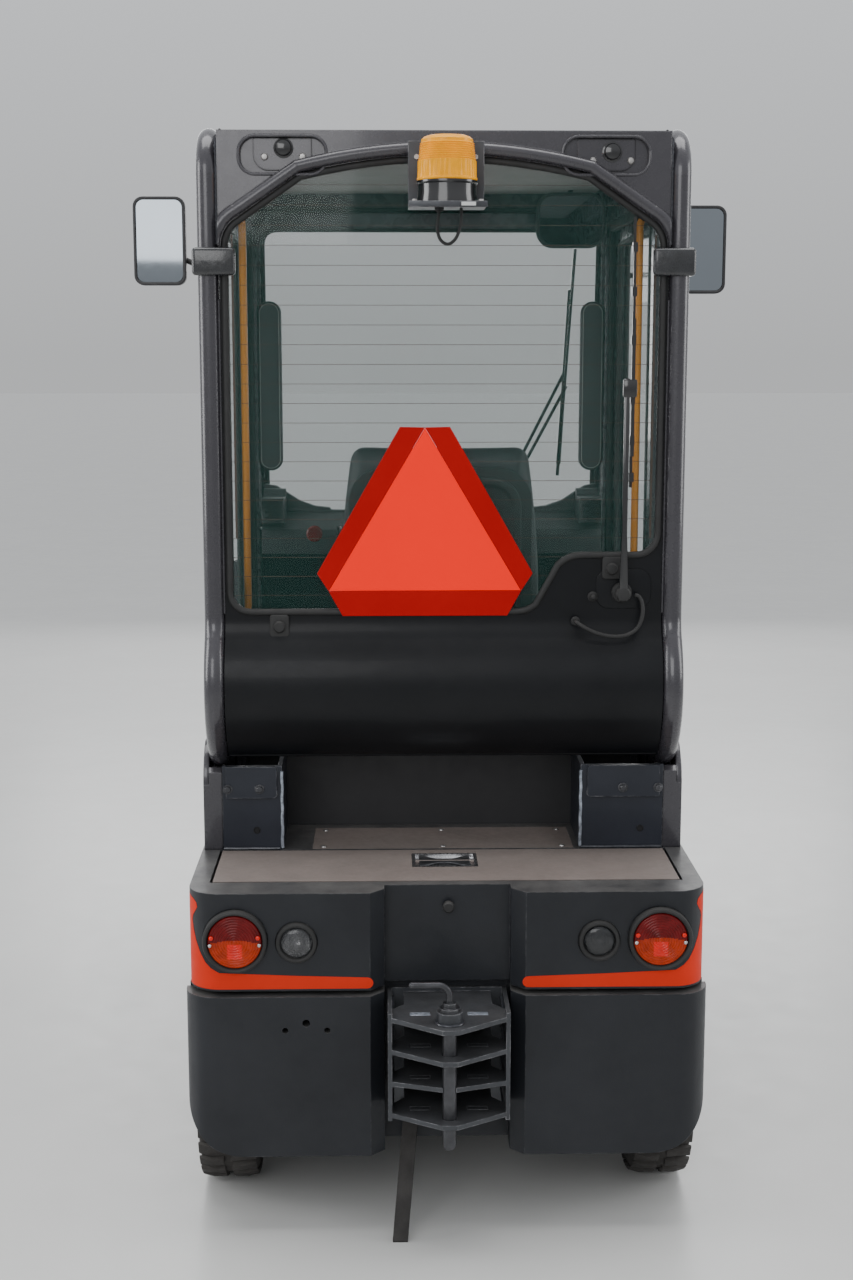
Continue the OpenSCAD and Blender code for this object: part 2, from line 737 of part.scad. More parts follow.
// Triangular slow-vehicle emblem on the rear window, its corners cut off
emblem_x = -37;
emblem_h = 365;
module emblem() {
    side = emblem_h * 0.573;
    low = emblem_h * 0.438;
    tip = emblem_h * 0.13;
    color([0.8, 0.1, 0.08]) across(-window_back - 6 - seat_gap, -window_back - 3 - seat_gap)
        translate([emblem_x, window_low - 1]) polygon([[-low, 0], [low, 0], [side, emblem_h * 0.235],
            [tip, emblem_h], [-tip, emblem_h], [-side, emblem_h * 0.235]]);
}

// Door posts, roof rails, the fixed panels beside the seat and the doors' hinge pins
hinge_zs = [door_low + 210, (door_low + door_top) / 2, door_top - 210];
hinge_len = 70;
wing_out = 11;
module side_frames() {
    x0 = cab_half - 36;
    yd = -door_back - 10;
    wing_back = -lid_step + lid_gap + 2;
    ring = concat([[-window_back + post_d + 6, rail_z - seat_gap]],
        rear_line(post_d + seat_gap, turn_z, post_end));
    color([0.2, 0.19, 0.22]) pair() {
        along(frame_in, cab_half) difference() {
            polygon(concat(ring, [bulge_c + [-14, -145], bulge_c + [-19, -186], bulge_c + [-94, -163],
                [wing_back, bulge_c[1] - 172], [wing_back, deck_z + seat_gap],
                [-pocket_front + 12, deck_z + seat_gap], [-pocket_front + 12, sill_z + seat_gap],
                [yd, sill_z + seat_gap], [yd, rail_z - seat_gap]]));
            quarter_outline(0);
        }
        block([cab_half - 10, wing_back, deck_z + seat_gap],
            [cab_half + wing_out, -pocket_front + 12, panel_low - 26]);
        along(x0, cab_half) polygon([[yd - 1, door_top + 6], [screen_in(door_top + 6), door_top + 6],
            [screen_in(rail_z), rail_z - seat_gap], [yd - 1, rail_z - seat_gap]]);
        along(x0, cab_half) polygon([[door_front + 6, sill_z + seat_gap], [nose_rear - 10, sill_z + seat_gap],
            [nose_rear - 10, screen_foot], [screen_in(screen_foot), screen_foot],
            [screen_in(door_top + 7), door_top + 7], [door_front + 6, door_top + 7]]);
        for (z = hinge_zs) {
            bar_z(hinge_x, hinge_y, z - 12, z + hinge_len + 12, pin_hinge);
            for (h = [z - 12, z + hinge_len + 1]) {
                bar_z(hinge_x, hinge_y, h, h + 11, hinge_r);
                block([cab_half - 5, hinge_y - hinge_r - 6, h], [hinge_x, hinge_y - 2, h + 11]);
            }
        }
    }
}

// Outer and inner mirrors; each outer one hangs on an arm from the windscreen frame
mirror_x = cab_half + 202;
mirror_r = 65;
inner_mirror = [wiper_x - 13, front_y - 120, window_top - 49];
function screen_mid(z) = screen_front - (z - screen_foot) * tan(screen_lean) - screen_d / 2;
module mirrors() {
    // side, height of the middle
    outer = [[-1, window_top - 91], [1, window_top - 110]];
    color("black") {
        for (m = outer) mirror([m[0] < 0 ? 1 : 0, 0, 0]) {
            y = screen_mid(m[1] - 60);
            translate([mirror_x, y, m[1]]) across(-14, 14) rrect(-mirror_r, -108, mirror_r, 108, 24);
            bar_x(cab_half + seat_gap, mirror_x, y, m[1] - 60, 7);
            bar_x(cab_half + seat_gap, cab_half + 8, y, m[1] - 60, 15);
        }
        translate(inner_mirror) across(-12, 8) rrect(-84, -66, 84, 66, 40);
        bar_z(inner_mirror[0], inner_mirror[1] + 4, inner_mirror[2] + 54, roof_in - 8 - seat_gap, 6);
    }
}

// Plan of the nose, moved in by d
module nose_plan(d) {
    difference() {
        rrect(-nose_half + d, nose_rear - 300, nose_half - d, nose_front - d, nose_r - d);
        translate([-sill_half - 1, nose_rear - 301]) square([2 * sill_half + 2, 301]);
    }
}

// Side view of the nose, moved in by d
module nose_side(d) {
    low = floor_z + 1 + (d > 0 ? -20 : 0);
    polygon([[nose_rear, low], [nose_front - d, low], [nose_front - d, cowl_z - 580 - d / 3],
        [nose_front - 60 - d, cowl_z - 190 - d / 2], [nose_front - 110 - d, cowl_z - 80 - d],
        [screen_front + 40 - d / 2, cowl_z - d], [nose_rear, cowl_z - d]]);
}

// Front cowl with the lamp holes
module nose() {
    color([0.17, 0.17, 0.19]) difference() {
        intersection() {
            translate([0, 0, floor_z + 1]) linear_extrude(cowl_z) nose_plan(0);
            along(-sill_half, sill_half) nose_side(0);
        }
        intersection() {
            translate([0, 0, floor_z - 10]) linear_extrude(cowl_z) nose_plan(body_wall);
            along(-sill_half, sill_half) nose_side(body_wall);
        }
        pair() bar_y(head_x, nose_front - 60, nose_front + 10, head_z, head_r + seat_gap);
    }
}

// Front bumper band
module front_bumper() {
    color([0.1, 0.1, 0.11]) translate([0, 0, bumper_bottom]) linear_extrude(bumper_front_z - bumper_bottom)
        difference() {
            nose_plan(-band_out);
            nose_plan(-seat_gap);
        }
}

// Headlamps in the nose
module headlamps() {
    color("silver") pair() bar_y(head_x, nose_front - 50, nose_front + 8, head_z, head_r);
}

// Dash, its column down to the wheel box and the steering column
dash_z = cowl_z - 50;
console_half = 200;
console_back = 120;
column_at = [0, front_y - console_back + 2, dash_z - 90];
column_lean = 62;
column_len = 120;
module console() {
    dash_half = cab_half - 45;
    color([0.12, 0.12, 0.13]) {
        difference() {
            block([-console_half, front_y - console_back, well_top + 16],
                [console_half, nose_rear - seat_gap, dash_z]);
            bar_z(0, front_y, well_top, well_top + 84, king_r + 23);
        }
        along(-dash_half, dash_half) polygon([[front_y - 100, dash_z], [nose_rear - seat_gap, dash_z],
            [nose_rear - seat_gap, dash_z + 98], [front_y - 20, dash_z + 98], [front_y - 92, dash_z + 60],
            [front_y - 100, dash_z + 46]]);
        pair() block([dash_half - 58, front_y - 128, dash_z + 78],
            [dash_half - 3, front_y - 21, dash_z + 140]);
        pair() translate([dash_half - 58, front_y - 40, dash_z + 139]) rotate([0, 90, 0])
            cylinder(h = 55, r = 19);
        translate(column_at) rotate([column_lean, 0, 0]) cylinder(h = column_len, r = 26);
    }
}

// Pedals beside the wheel box
pedal_xs = [290, 360];
module pedals() {
    y = front_y - 110;
    color("black") for (x = pedal_xs) {
        translate([x - 25, y, floor_z + 60]) rotate([-35, 0, 0]) cube([50, 8, 90]);
        block([x - 6, y, floor_z], [x + 6, y + 12, floor_z + 70]);
    }
}

// Seat hood over the battery
module seat_hood() {
    color([0.13, 0.13, 0.14]) difference() {
        block([-hood_half, -hood_back, floor_z], [hood_half, hood_front, hood_z]);
        block([-hood_half + body_wall, -hood_back + body_wall, floor_z - 1],
            [hood_half - body_wall, hood_front - body_wall, hood_z - body_wall]);
    }
}

// Seat pan and back shell
pan_h = 30;
back_lean = 235;
seat_top = hood_z + 596;
seat_half = 220;
module seat_frame() {
    z = hood_z + seat_gap;
    color("black") {
        block([-seat_half + 30, -back_lean + 5, z], [seat_half - 30, hood_front + 40, hood_z + pan_h]);
        across(-back_lean - 25, -back_lean) rrect(-seat_half + 30, z, seat_half - 30, seat_top - 50, 70);
        block([-seat_half + 40, -back_lean - 1, z], [seat_half - 40, -back_lean + 6, hood_z + pan_h]);
    }
}

// Seat cushion and back pad
cushion_h = 90;
pad_t = 60;
module seat_pads() {
    z = hood_z + pan_h + seat_gap;
    color([0.15, 0.15, 0.16]) {
        translate([0, 0, z]) linear_extrude(cushion_h)
            rrect(-seat_half, -back_lean + pad_t + 5, seat_half, hood_front + 70, 50);
        across(-back_lean + seat_gap, -back_lean + pad_t) rrect(-seat_half, z, seat_half, seat_top, 90);
    }
}

// Grab rails beside the doors
grab_low = window_low + 13;
grab_top = door_top - 70;
module grab_rails() {
    x = cab_half - 61;
    y = -door_back - 33;
    color([0.85, 0.6, 0.05]) pair() {
        bar_z(x, y, grab_low, grab_top, 12);
        for (z = [grab_low + 20, grab_top - 20]) bar_x(x, frame_in - seat_gap, y, z, 11);
    }
}

// Drive battery, plain
battery_half = hood_half - 70;
battery_top = hood_z - 160;
module battery() {
    color("dimgray")
        block([-battery_half, -hood_back + 30, floor_z + seat_gap],
            [battery_half, hood_front - 30, battery_top]);
}

// Rear axle: motor casing, tubes and stubs
module rear_axle() {
    color([0.3, 0.3, 0.3]) {
        bar_x(-frame_half + 40, frame_half - 40, rear_y, tyre_r, motor_r);
        bar_x(-frame_half - 20, frame_half + 20, rear_y, tyre_r, axle_r);
        bar_x(-wheel_x - 20, wheel_x + 20, rear_y, tyre_r, stub_r);
    }
}

// Wheel disc and rim, spinning about X at the middle; the stub enters from the left
module rim() {
    w = tyre_w / 2;
    rotate([0, 90, 0]) difference() {
        union() {
            rotate_extrude() polygon([[rim_r - 8, -w + 8], [rim_r + 8, -w + 6], [rim_r + 8, -w + 12],
                [rim_r, -w + 16], [rim_r, w - 16], [rim_r + 8, w - 12], [rim_r + 8, w - 6], [rim_r - 8, w - 8],
                [rim_r - 8, 18], [48, 24], [48, 34], [stub_r + 6, 34], [stub_r + 6, -22], [48, -22], [48, 12],
                [rim_r - 8, 8]]);
            translate([0, 0, 20]) cylinder(h = 20, r = stub_r + 16);
        }
        translate([0, 0, -60]) cylinder(h = 82, r = stub_r + run_clear);
        for (a = [0 : 72 : 359]) rotate(a) translate([66, 0, 0]) cylinder(h = 60, r = 6);
    }
}

// Tyre round a rim
module tyre() {
    w = tyre_w / 2;
    g = seat_gap;
    rotate([0, 90, 0]) rotate_extrude() polygon(concat([[rim_r + g, -w + 17]], [[rim_r + 9, -w + 13]],
        arc([tyre_r - 60, -w + 26], 26, 230, 270, 4), arc([tyre_r - 18, -w + 18], 18, 290, 350, 4),
        arc([tyre_r - 18, w - 18], 18, 10, 70, 4), arc([tyre_r - 60, w - 26], 26, 90, 130, 4),
        [[rim_r + 9, w - 13]], [[rim_r + g, w - 17]]));
}

// Fork of the steered front wheel
fork_leg = tyre_w / 2 + 12;
module steer_fork() {
    color([0.25, 0.25, 0.25]) translate([0, front_y, 0]) {
        bar_z(0, 0, tyre_d + 20, well_top + 70, king_r);
        bar_z(0, 0, tyre_d + 16, tyre_d + 34, 96);
        for (s = [-1, 1]) translate([s * (fork_leg + 7) - 7, 0, 0]) along(0, 14) {
            translate([-45, tyre_r]) square([90, tyre_r + 20]);
            translate([0, tyre_r]) circle(45);
        }
        bar_x(-fork_leg - 1, fork_leg + 1, 0, tyre_r, stub_r);
    }
}

// Front rim: a through bore for the fork's axle
module rim_front() {
    color("silver") translate([0, front_y, tyre_r]) difference() {
        rim();
        rotate([0, 90, 0]) translate([0, 0, -100]) cylinder(h = 200, r = stub_r + run_clear);
    }
}
module tyre_front() {
    color([0.1, 0.1, 0.1]) translate([0, front_y, tyre_r]) tyre();
}
module rim_rear_left() {
    color("silver") translate([-wheel_x, rear_y, tyre_r]) mirror([1, 0, 0]) rim();
}
module tyre_rear_left() {
    color([0.1, 0.1, 0.1]) translate([-wheel_x, rear_y, tyre_r]) tyre();
}
module rim_rear_right() {
    color("silver") translate([wheel_x, rear_y, tyre_r]) rim();
}
module tyre_rear_right() {
    color([0.1, 0.1, 0.1]) translate([wheel_x, rear_y, tyre_r]) tyre();
}

// Steering wheel on the column
hand_r = 165;
module steering_wheel() {
    color("black") translate(column_at) rotate([column_lean, 0, 0]) {
        translate([0, 0, column_len + 2]) rotate_extrude() translate([hand_r, 0]) circle(13);
        translate([0, 0, column_len + seat_gap]) cylinder(h = 14, r = 40);
        for (a = [90, 210, 330]) rotate(a) translate([30, -14, column_len + seat_gap])
            cube([hand_r - 37, 28, 8]);
    }
}

// Door frame with its lower panel, hinge barrels and handle
module door_frame() {
    x1 = door_out;
    y0 = -door_back + 2;
    difference() {
        along(x1 - door_t, x1) rrect(y0, door_low, door_front, door_top, 24);
        along(x1 - door_t - 1, x1 + 1)
            rrect(y0 + door_rim, door_rail, door_front - door_rim, door_top - door_rim, 30);
        along(x1 - door_t - 1, x1 - 8)
            rrect(y0 + door_rim, door_low + door_rim, door_front - door_rim, door_rail - door_rim, 30);
    }
    for (z = hinge_zs) difference() {
        union() {
            bar_z(hinge_x, hinge_y, z, z + hinge_len, hinge_r);
            block([x1 - 6, hinge_y + 4, z], [hinge_x + hinge_r - 2, hinge_y + 16, z + hinge_len]);
        }
        bar_z(hinge_x, hinge_y, z - 1, z + hinge_len + 1, pin_hinge + run_clear);
    }
    block([x1 - 1, door_front - 40, door_rail + 110], [x1 + 30, door_front - 24, door_rail + 230]);
}
module door_glass() {
    along(door_out - 14, door_out - 14 + glass_t)
        rrect(-door_back + 2 + door_rim + seat_gap, door_rail + seat_gap,
            door_front - door_rim - seat_gap, door_top - door_rim - seat_gap, 30);
}
module door_left() {
    color([0.2, 0.19, 0.22]) mirror([1, 0, 0]) door_frame();
}
module door_glass_left() {
    color([0.6, 0.75, 0.7, 0.35]) mirror([1, 0, 0]) door_glass();
}
module door_right() {
    color([0.2, 0.19, 0.22]) door_frame();
}
module door_glass_right() {
    color([0.6, 0.75, 0.7, 0.35]) door_glass();
}

chassis();
rear_bumper();
rear_body();
deck_lid();
deck_plate();
rear_lamps();
hitch_frame();
tow_pin();
static_strap();
cab_feet();
rear_frame();
rear_panel();
window_seal();
cab_glass();
roof();
roof_beam();
beacon_mount();
beacon_lens();
beacon_lead();
wipers();
washer_hose();
emblem();
side_frames();
front_frame();
mirrors();
nose();
front_bumper();
headlamps();
console();
pedals();
seat_hood();
seat_frame();
seat_pads();
grab_rails();
battery();
rear_axle();
steer_fork();
rim_front();
tyre_front();
rim_rear_left();
tyre_rear_left();
rim_rear_right();
tyre_rear_right();
steering_wheel();
door_left();
door_glass_left();
door_right();
door_glass_right();
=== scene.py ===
"""Looks of a compact electric tow tractor with a weather cab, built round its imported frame."""

import logging
import math
from dataclasses import dataclass, field
from enum import Enum
from typing import Callable, Optional, Sequence

import bmesh
import bpy
from mathutils import Matrix, Vector


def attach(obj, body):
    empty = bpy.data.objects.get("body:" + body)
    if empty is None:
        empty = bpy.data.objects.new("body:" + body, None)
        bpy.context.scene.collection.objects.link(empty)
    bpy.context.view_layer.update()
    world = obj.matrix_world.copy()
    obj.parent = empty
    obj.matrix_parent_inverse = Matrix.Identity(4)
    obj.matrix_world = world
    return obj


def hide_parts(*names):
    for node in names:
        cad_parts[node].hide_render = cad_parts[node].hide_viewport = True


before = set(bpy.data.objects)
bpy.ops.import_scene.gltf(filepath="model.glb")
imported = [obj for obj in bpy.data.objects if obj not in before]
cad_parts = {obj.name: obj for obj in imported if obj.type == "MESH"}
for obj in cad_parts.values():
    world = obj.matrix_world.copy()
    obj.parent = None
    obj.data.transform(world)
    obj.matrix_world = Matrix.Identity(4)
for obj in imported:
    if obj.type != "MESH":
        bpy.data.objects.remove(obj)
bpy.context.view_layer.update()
LOG = logging.getLogger("tug")

Point = tuple[float, float, float]
Flat = tuple[float, float]
Piece = bpy.types.Object
Socket = bpy.types.NodeSocket
FaceTest = Callable[[Vector, Vector], bool]

# Pale tint laid on faces that look up: dust, and painted sheen of overhead light.
DUST_AND_SHEEN_TINT = (0.42, 0.40, 0.37)
COAT_ROUGHNESS = 0.08
RUBBED_EDGE = 0.003
BUMP_HEIGHT = 0.002
WELD_WITHIN = 2e-5
SQUARE_ON = 0.9
MM_PER_M = 1000

SIDES = (-1, 1)
NAMED_SIDES = ((-1, "left"), (1, "right"))
AHEAD = (0.0, 1.0, 0.0)
BACKWARDS = (0.0, -1.0, 0.0)
UPWARDS = (0.0, 0.0, 1.0)
DOWNWARDS = (0.0, 0.0, -1.0)


class Body(Enum):
    """Moving bodies of the tug."""

    ROOT = "root"
    REAR_LEFT = "wheel_rear_left"
    REAR_RIGHT = "wheel_rear_right"
    FRONT = "wheel_front"
    HAND_WHEEL = "hand_wheel"
    DOOR_LEFT = "door_left"
    DOOR_RIGHT = "door_right"
    LID = "lid"


class Axis(Enum):
    """Directions that a round piece can point in, as Euler turns from Z."""

    X = (0.0, math.pi / 2, 0.0)
    Y = (-math.pi / 2, 0.0, 0.0)
    BACK = (math.pi / 2, 0.0, 0.0)
    Z = (0.0, 0.0, 0.0)


class Grain(Enum):
    """Kinds of fine surface structure."""

    PEEL = "peel"
    LEATHER = "leather"
    WEAVE = "weave"
    BRUSHED = "brushed"
    SPECKLE = "speckle"
    NONE = "none"


def mm(*values: float) -> tuple[float, ...]:
    """Turns millimetres into metres.

    Args:
        values: Lengths in millimetres.

    Returns:
        The same lengths in metres.
    """
    return tuple(v / MM_PER_M for v in values)


@dataclass(frozen=True)
class Finish:
    """A surface finish with its colour, gloss, grain, dust and painted sheen, and wear."""

    name: str
    colour: Point
    roughness: float = 0.45
    metallic: float = 0.0
    coat: float = 0.0
    specular: float = 0.5
    alpha: float = 1.0
    glow: float = 0.0
    mottle: float = 0.12
    mottle_scale: float = 7.0
    grain: Grain = Grain.PEEL
    grain_scale: float = 420.0
    grain_depth: float = 0.08
    dust_and_sheen: float = 0.0
    wear: float = 0.0
    worn: Point = (0.42, 0.42, 0.44)
    rounding: float = 0.0

    def material(self) -> bpy.types.Material:
        """Makes the material, or finds it where it is made already.

        Returns:
            The procedural material of this finish.
        """
        known = bpy.data.materials.get(self.name)
        if known:
            return known
        made = bpy.data.materials.new(self.name)
        made.use_nodes = True
        web = Web(made)
        shader = web.shader
        web.fill(shader, {"Metallic": self.metallic, "Specular IOR Level": self.specular,
                          "Coat Weight": self.coat, "Coat Roughness": COAT_ROUGHNESS,
                          "Alpha": self.alpha})
        if self.glow:
            web.fill(shader, {"Emission Color": (*self.colour, 1), "Emission Strength": self.glow})
        blotch = web.noise(self.mottle_scale, 6, 0.62)
        dark = tuple(c * (1 - self.mottle) for c in self.colour)
        pale = tuple(min(1, c * (1 + self.mottle) + 0.01 * self.mottle) for c in self.colour)
        colour = web.blend(blotch, dark, pale, 0.3, 0.7)
        rough = web.span(web.noise(self.mottle_scale * 5, 5, 0.7), 0.3, 0.7, self.roughness * 0.85,
                         min(1, self.roughness * 1.18))
        if self.wear:
            mask = web.edges(self.wear)
            colour = web.mix(mask, colour, self.worn)
        # Faces that look up are paled with the dust tint: real dust, and where the amount is high, as on the
        # body, also a painted sheen of overhead light.
        if self.dust_and_sheen:
            mask = web.settled_dust_and_sheen(self.dust_and_sheen)
            colour = web.mix(mask, colour, DUST_AND_SHEEN_TINT)
            rough = web.lift(rough, mask, 0.3)
        web.join(colour, shader.inputs["Base Color"])
        web.join(rough, shader.inputs["Roughness"])
        web.relief(self)
        return made


class Web:
    """A material's node tree, with the few moves that the finishes need."""

    def __init__(self, material: bpy.types.Material) -> None:
        """Takes over a new material.

        Args:
            material: A material with nodes switched on.
        """
        self.tree = material.node_tree
        self.shader = self.tree.nodes["Principled BSDF"]
        self.place = self.add("ShaderNodeTexCoord").outputs["Object"]

    def add(self, kind: str, **settings: object) -> bpy.types.Node:
        """Adds a node and sets its properties."""
        node = self.tree.nodes.new(kind)
        for key, value in settings.items():
            setattr(node, key, value)
        return node

    @staticmethod
    def fill(node: bpy.types.Node, values: dict[str, object]) -> None:
        """Sets inputs of a node by their names."""
        for key, value in values.items():
            node.inputs[key].default_value = value

    def join(self, source: Socket, target: Socket) -> None:
        """Links one socket to another."""
        self.tree.links.new(source, target)

    def noise(self, scale: float, detail: float = 4, rough: float = 0.5) -> Socket:
        """Gives a noise value over the piece."""
        node = self.add("ShaderNodeTexNoise")
        self.fill(node, {"Scale": scale, "Detail": detail, "Roughness": rough})
        self.join(self.place, node.inputs["Vector"])
        return node.outputs["Fac"]

    def span(self, value: Socket, low: float, high: float, to_low: float,
             to_high: float) -> Socket:
        """Maps a value from one range onto another."""
        node = self.add("ShaderNodeMapRange")
        self.fill(node, {"From Min": low, "From Max": high, "To Min": to_low, "To Max": to_high})
        self.join(value, node.inputs["Value"])
        return node.outputs["Result"]

    def blend(self, value: Socket, first: Point, last: Point, low: float,
              high: float) -> Socket:
        """Runs from one colour to another as a value rises."""
        ramp = self.add("ShaderNodeValToRGB")
        ramp.color_ramp.elements[0].position = low
        ramp.color_ramp.elements[1].position = high
        ramp.color_ramp.elements[0].color = (*first, 1)
        ramp.color_ramp.elements[1].color = (*last, 1)
        self.join(value, ramp.inputs["Fac"])
        return ramp.outputs["Color"]

    def mix(self, mask: Socket, under: Socket, over: Point) -> Socket:
        """Lays a colour over another where a mask is high."""
        node = self.add("ShaderNodeMix", data_type="RGBA")
        self.join(mask, node.inputs["Factor"])
        self.join(under, node.inputs[6])
        node.inputs[7].default_value = (*over, 1)
        return node.outputs[2]

    def math(self, kind: str, first: Socket, second: object = None) -> Socket:
        """Combines two values, or a value and a number."""
        node = self.add("ShaderNodeMath", operation=kind)
        self.join(first, node.inputs[0])
        if isinstance(second, Socket):
            self.join(second, node.inputs[1])
        elif second is not None:
            node.inputs[1].default_value = second
        return node.outputs[0]

    def lift(self, value: Socket, mask: Socket, amount: float) -> Socket:
        """Raises a value where a mask is high."""
        return self.math("ADD", value, self.math("MULTIPLY", mask, amount))

    def settled_dust_and_sheen(self, amount: float) -> Socket:
        """Gives a mask of the dust, and of a painted sheen, that lie on faces that look up."""
        split = self.add("ShaderNodeSeparateXYZ")
        self.join(self.add("ShaderNodeNewGeometry").outputs["Normal"], split.inputs[0])
        up = self.span(split.outputs["Z"], 0.3, 1.0, 0.0, 1.0)
        patches = self.span(self.noise(9, 8, 0.7), 0.35, 0.75, 0.25, 1.0)
        return self.math("MULTIPLY", self.math("MULTIPLY", up, patches), amount)

    def edges(self, amount: float) -> Socket:
        """Gives a mask of the rubbed outer edges."""
        bevel = self.add("ShaderNodeBevel", samples=4)
        self.fill(bevel, {"Radius": RUBBED_EDGE})
        dot = self.add("ShaderNodeVectorMath", operation="DOT_PRODUCT")
        self.join(bevel.outputs["Normal"], dot.inputs[0])
        self.join(self.add("ShaderNodeNewGeometry").outputs["True Normal"], dot.inputs[1])
        edge = self.span(dot.outputs["Value"], 0.98, 0.84, 0.0, 1.0)
        patches = self.span(self.noise(34, 8, 0.75), 0.46, 0.66, 0.0, amount)
        return self.math("MULTIPLY", edge, patches)

    def relief(self, finish: "Finish") -> None:
        """Gives the shader its grain, over a rounded edge where the finish asks for one.

        Args:
            finish: The finish, whose grain, depth and rounding are read.
        """
        normal = None
        if finish.rounding:
            bevel = self.add("ShaderNodeBevel", samples=4)
            self.fill(bevel, {"Radius": finish.rounding})
            normal = bevel.outputs["Normal"]
        height = self.height(finish)
        if height is not None:
            bump = self.add("ShaderNodeBump")
            self.fill(bump, {"Strength": finish.grain_depth, "Distance": BUMP_HEIGHT})
            self.join(height, bump.inputs["Height"])
            if normal is not None:
                self.join(normal, bump.inputs["Normal"])
            normal = bump.outputs["Normal"]
        if normal is not None:
            self.join(normal, self.shader.inputs["Normal"])

    def height(self, finish: "Finish") -> Optional[Socket]:
        """Makes the height of a finish's grain.

        Args:
            finish: The finish that is made.

        Returns:
            A height socket, or None where the surface is smooth.
        """
        scale = finish.grain_scale
        if finish.grain is Grain.NONE:
            return None
        if finish.grain is Grain.LEATHER:
            return self.span(self.cells("DISTANCE_TO_EDGE", scale), 0.0, 0.12, 0.0, 1.0)
        if finish.grain is Grain.BRUSHED:
            drawn = self.add("ShaderNodeMapping")
            self.fill(drawn, {"Scale": (0.03, 1.0, 1.0)})
            self.join(self.place, drawn.inputs["Vector"])
            node = self.add("ShaderNodeTexNoise")
            self.fill(node, {"Scale": scale})
            self.join(drawn.outputs["Vector"], node.inputs["Vector"])
            return node.outputs["Fac"]
        if finish.grain is Grain.WEAVE:
            waves = []
            for direction in ("X", "Z"):
                node = self.add("ShaderNodeTexWave", bands_direction=direction)
                self.fill(node, {"Scale": scale, "Distortion": 0.6})
                self.join(self.place, node.inputs["Vector"])
                waves.append(node.outputs["Fac"])
            return self.math("MAXIMUM", waves[0], waves[1])
        if finish.grain is Grain.SPECKLE:
            return self.span(self.cells("F1", scale), 0.1, 0.5, 1.0, 0.0)
        return self.noise(scale, 3, 0.5)

    def cells(self, feature: str, scale: float) -> Socket:
        """Gives the distance of a cell pattern over the piece."""
        node = self.add("ShaderNodeTexVoronoi", feature=feature)
        self.fill(node, {"Scale": scale})
        self.join(self.place, node.inputs["Vector"])
        return node.outputs["Distance"]


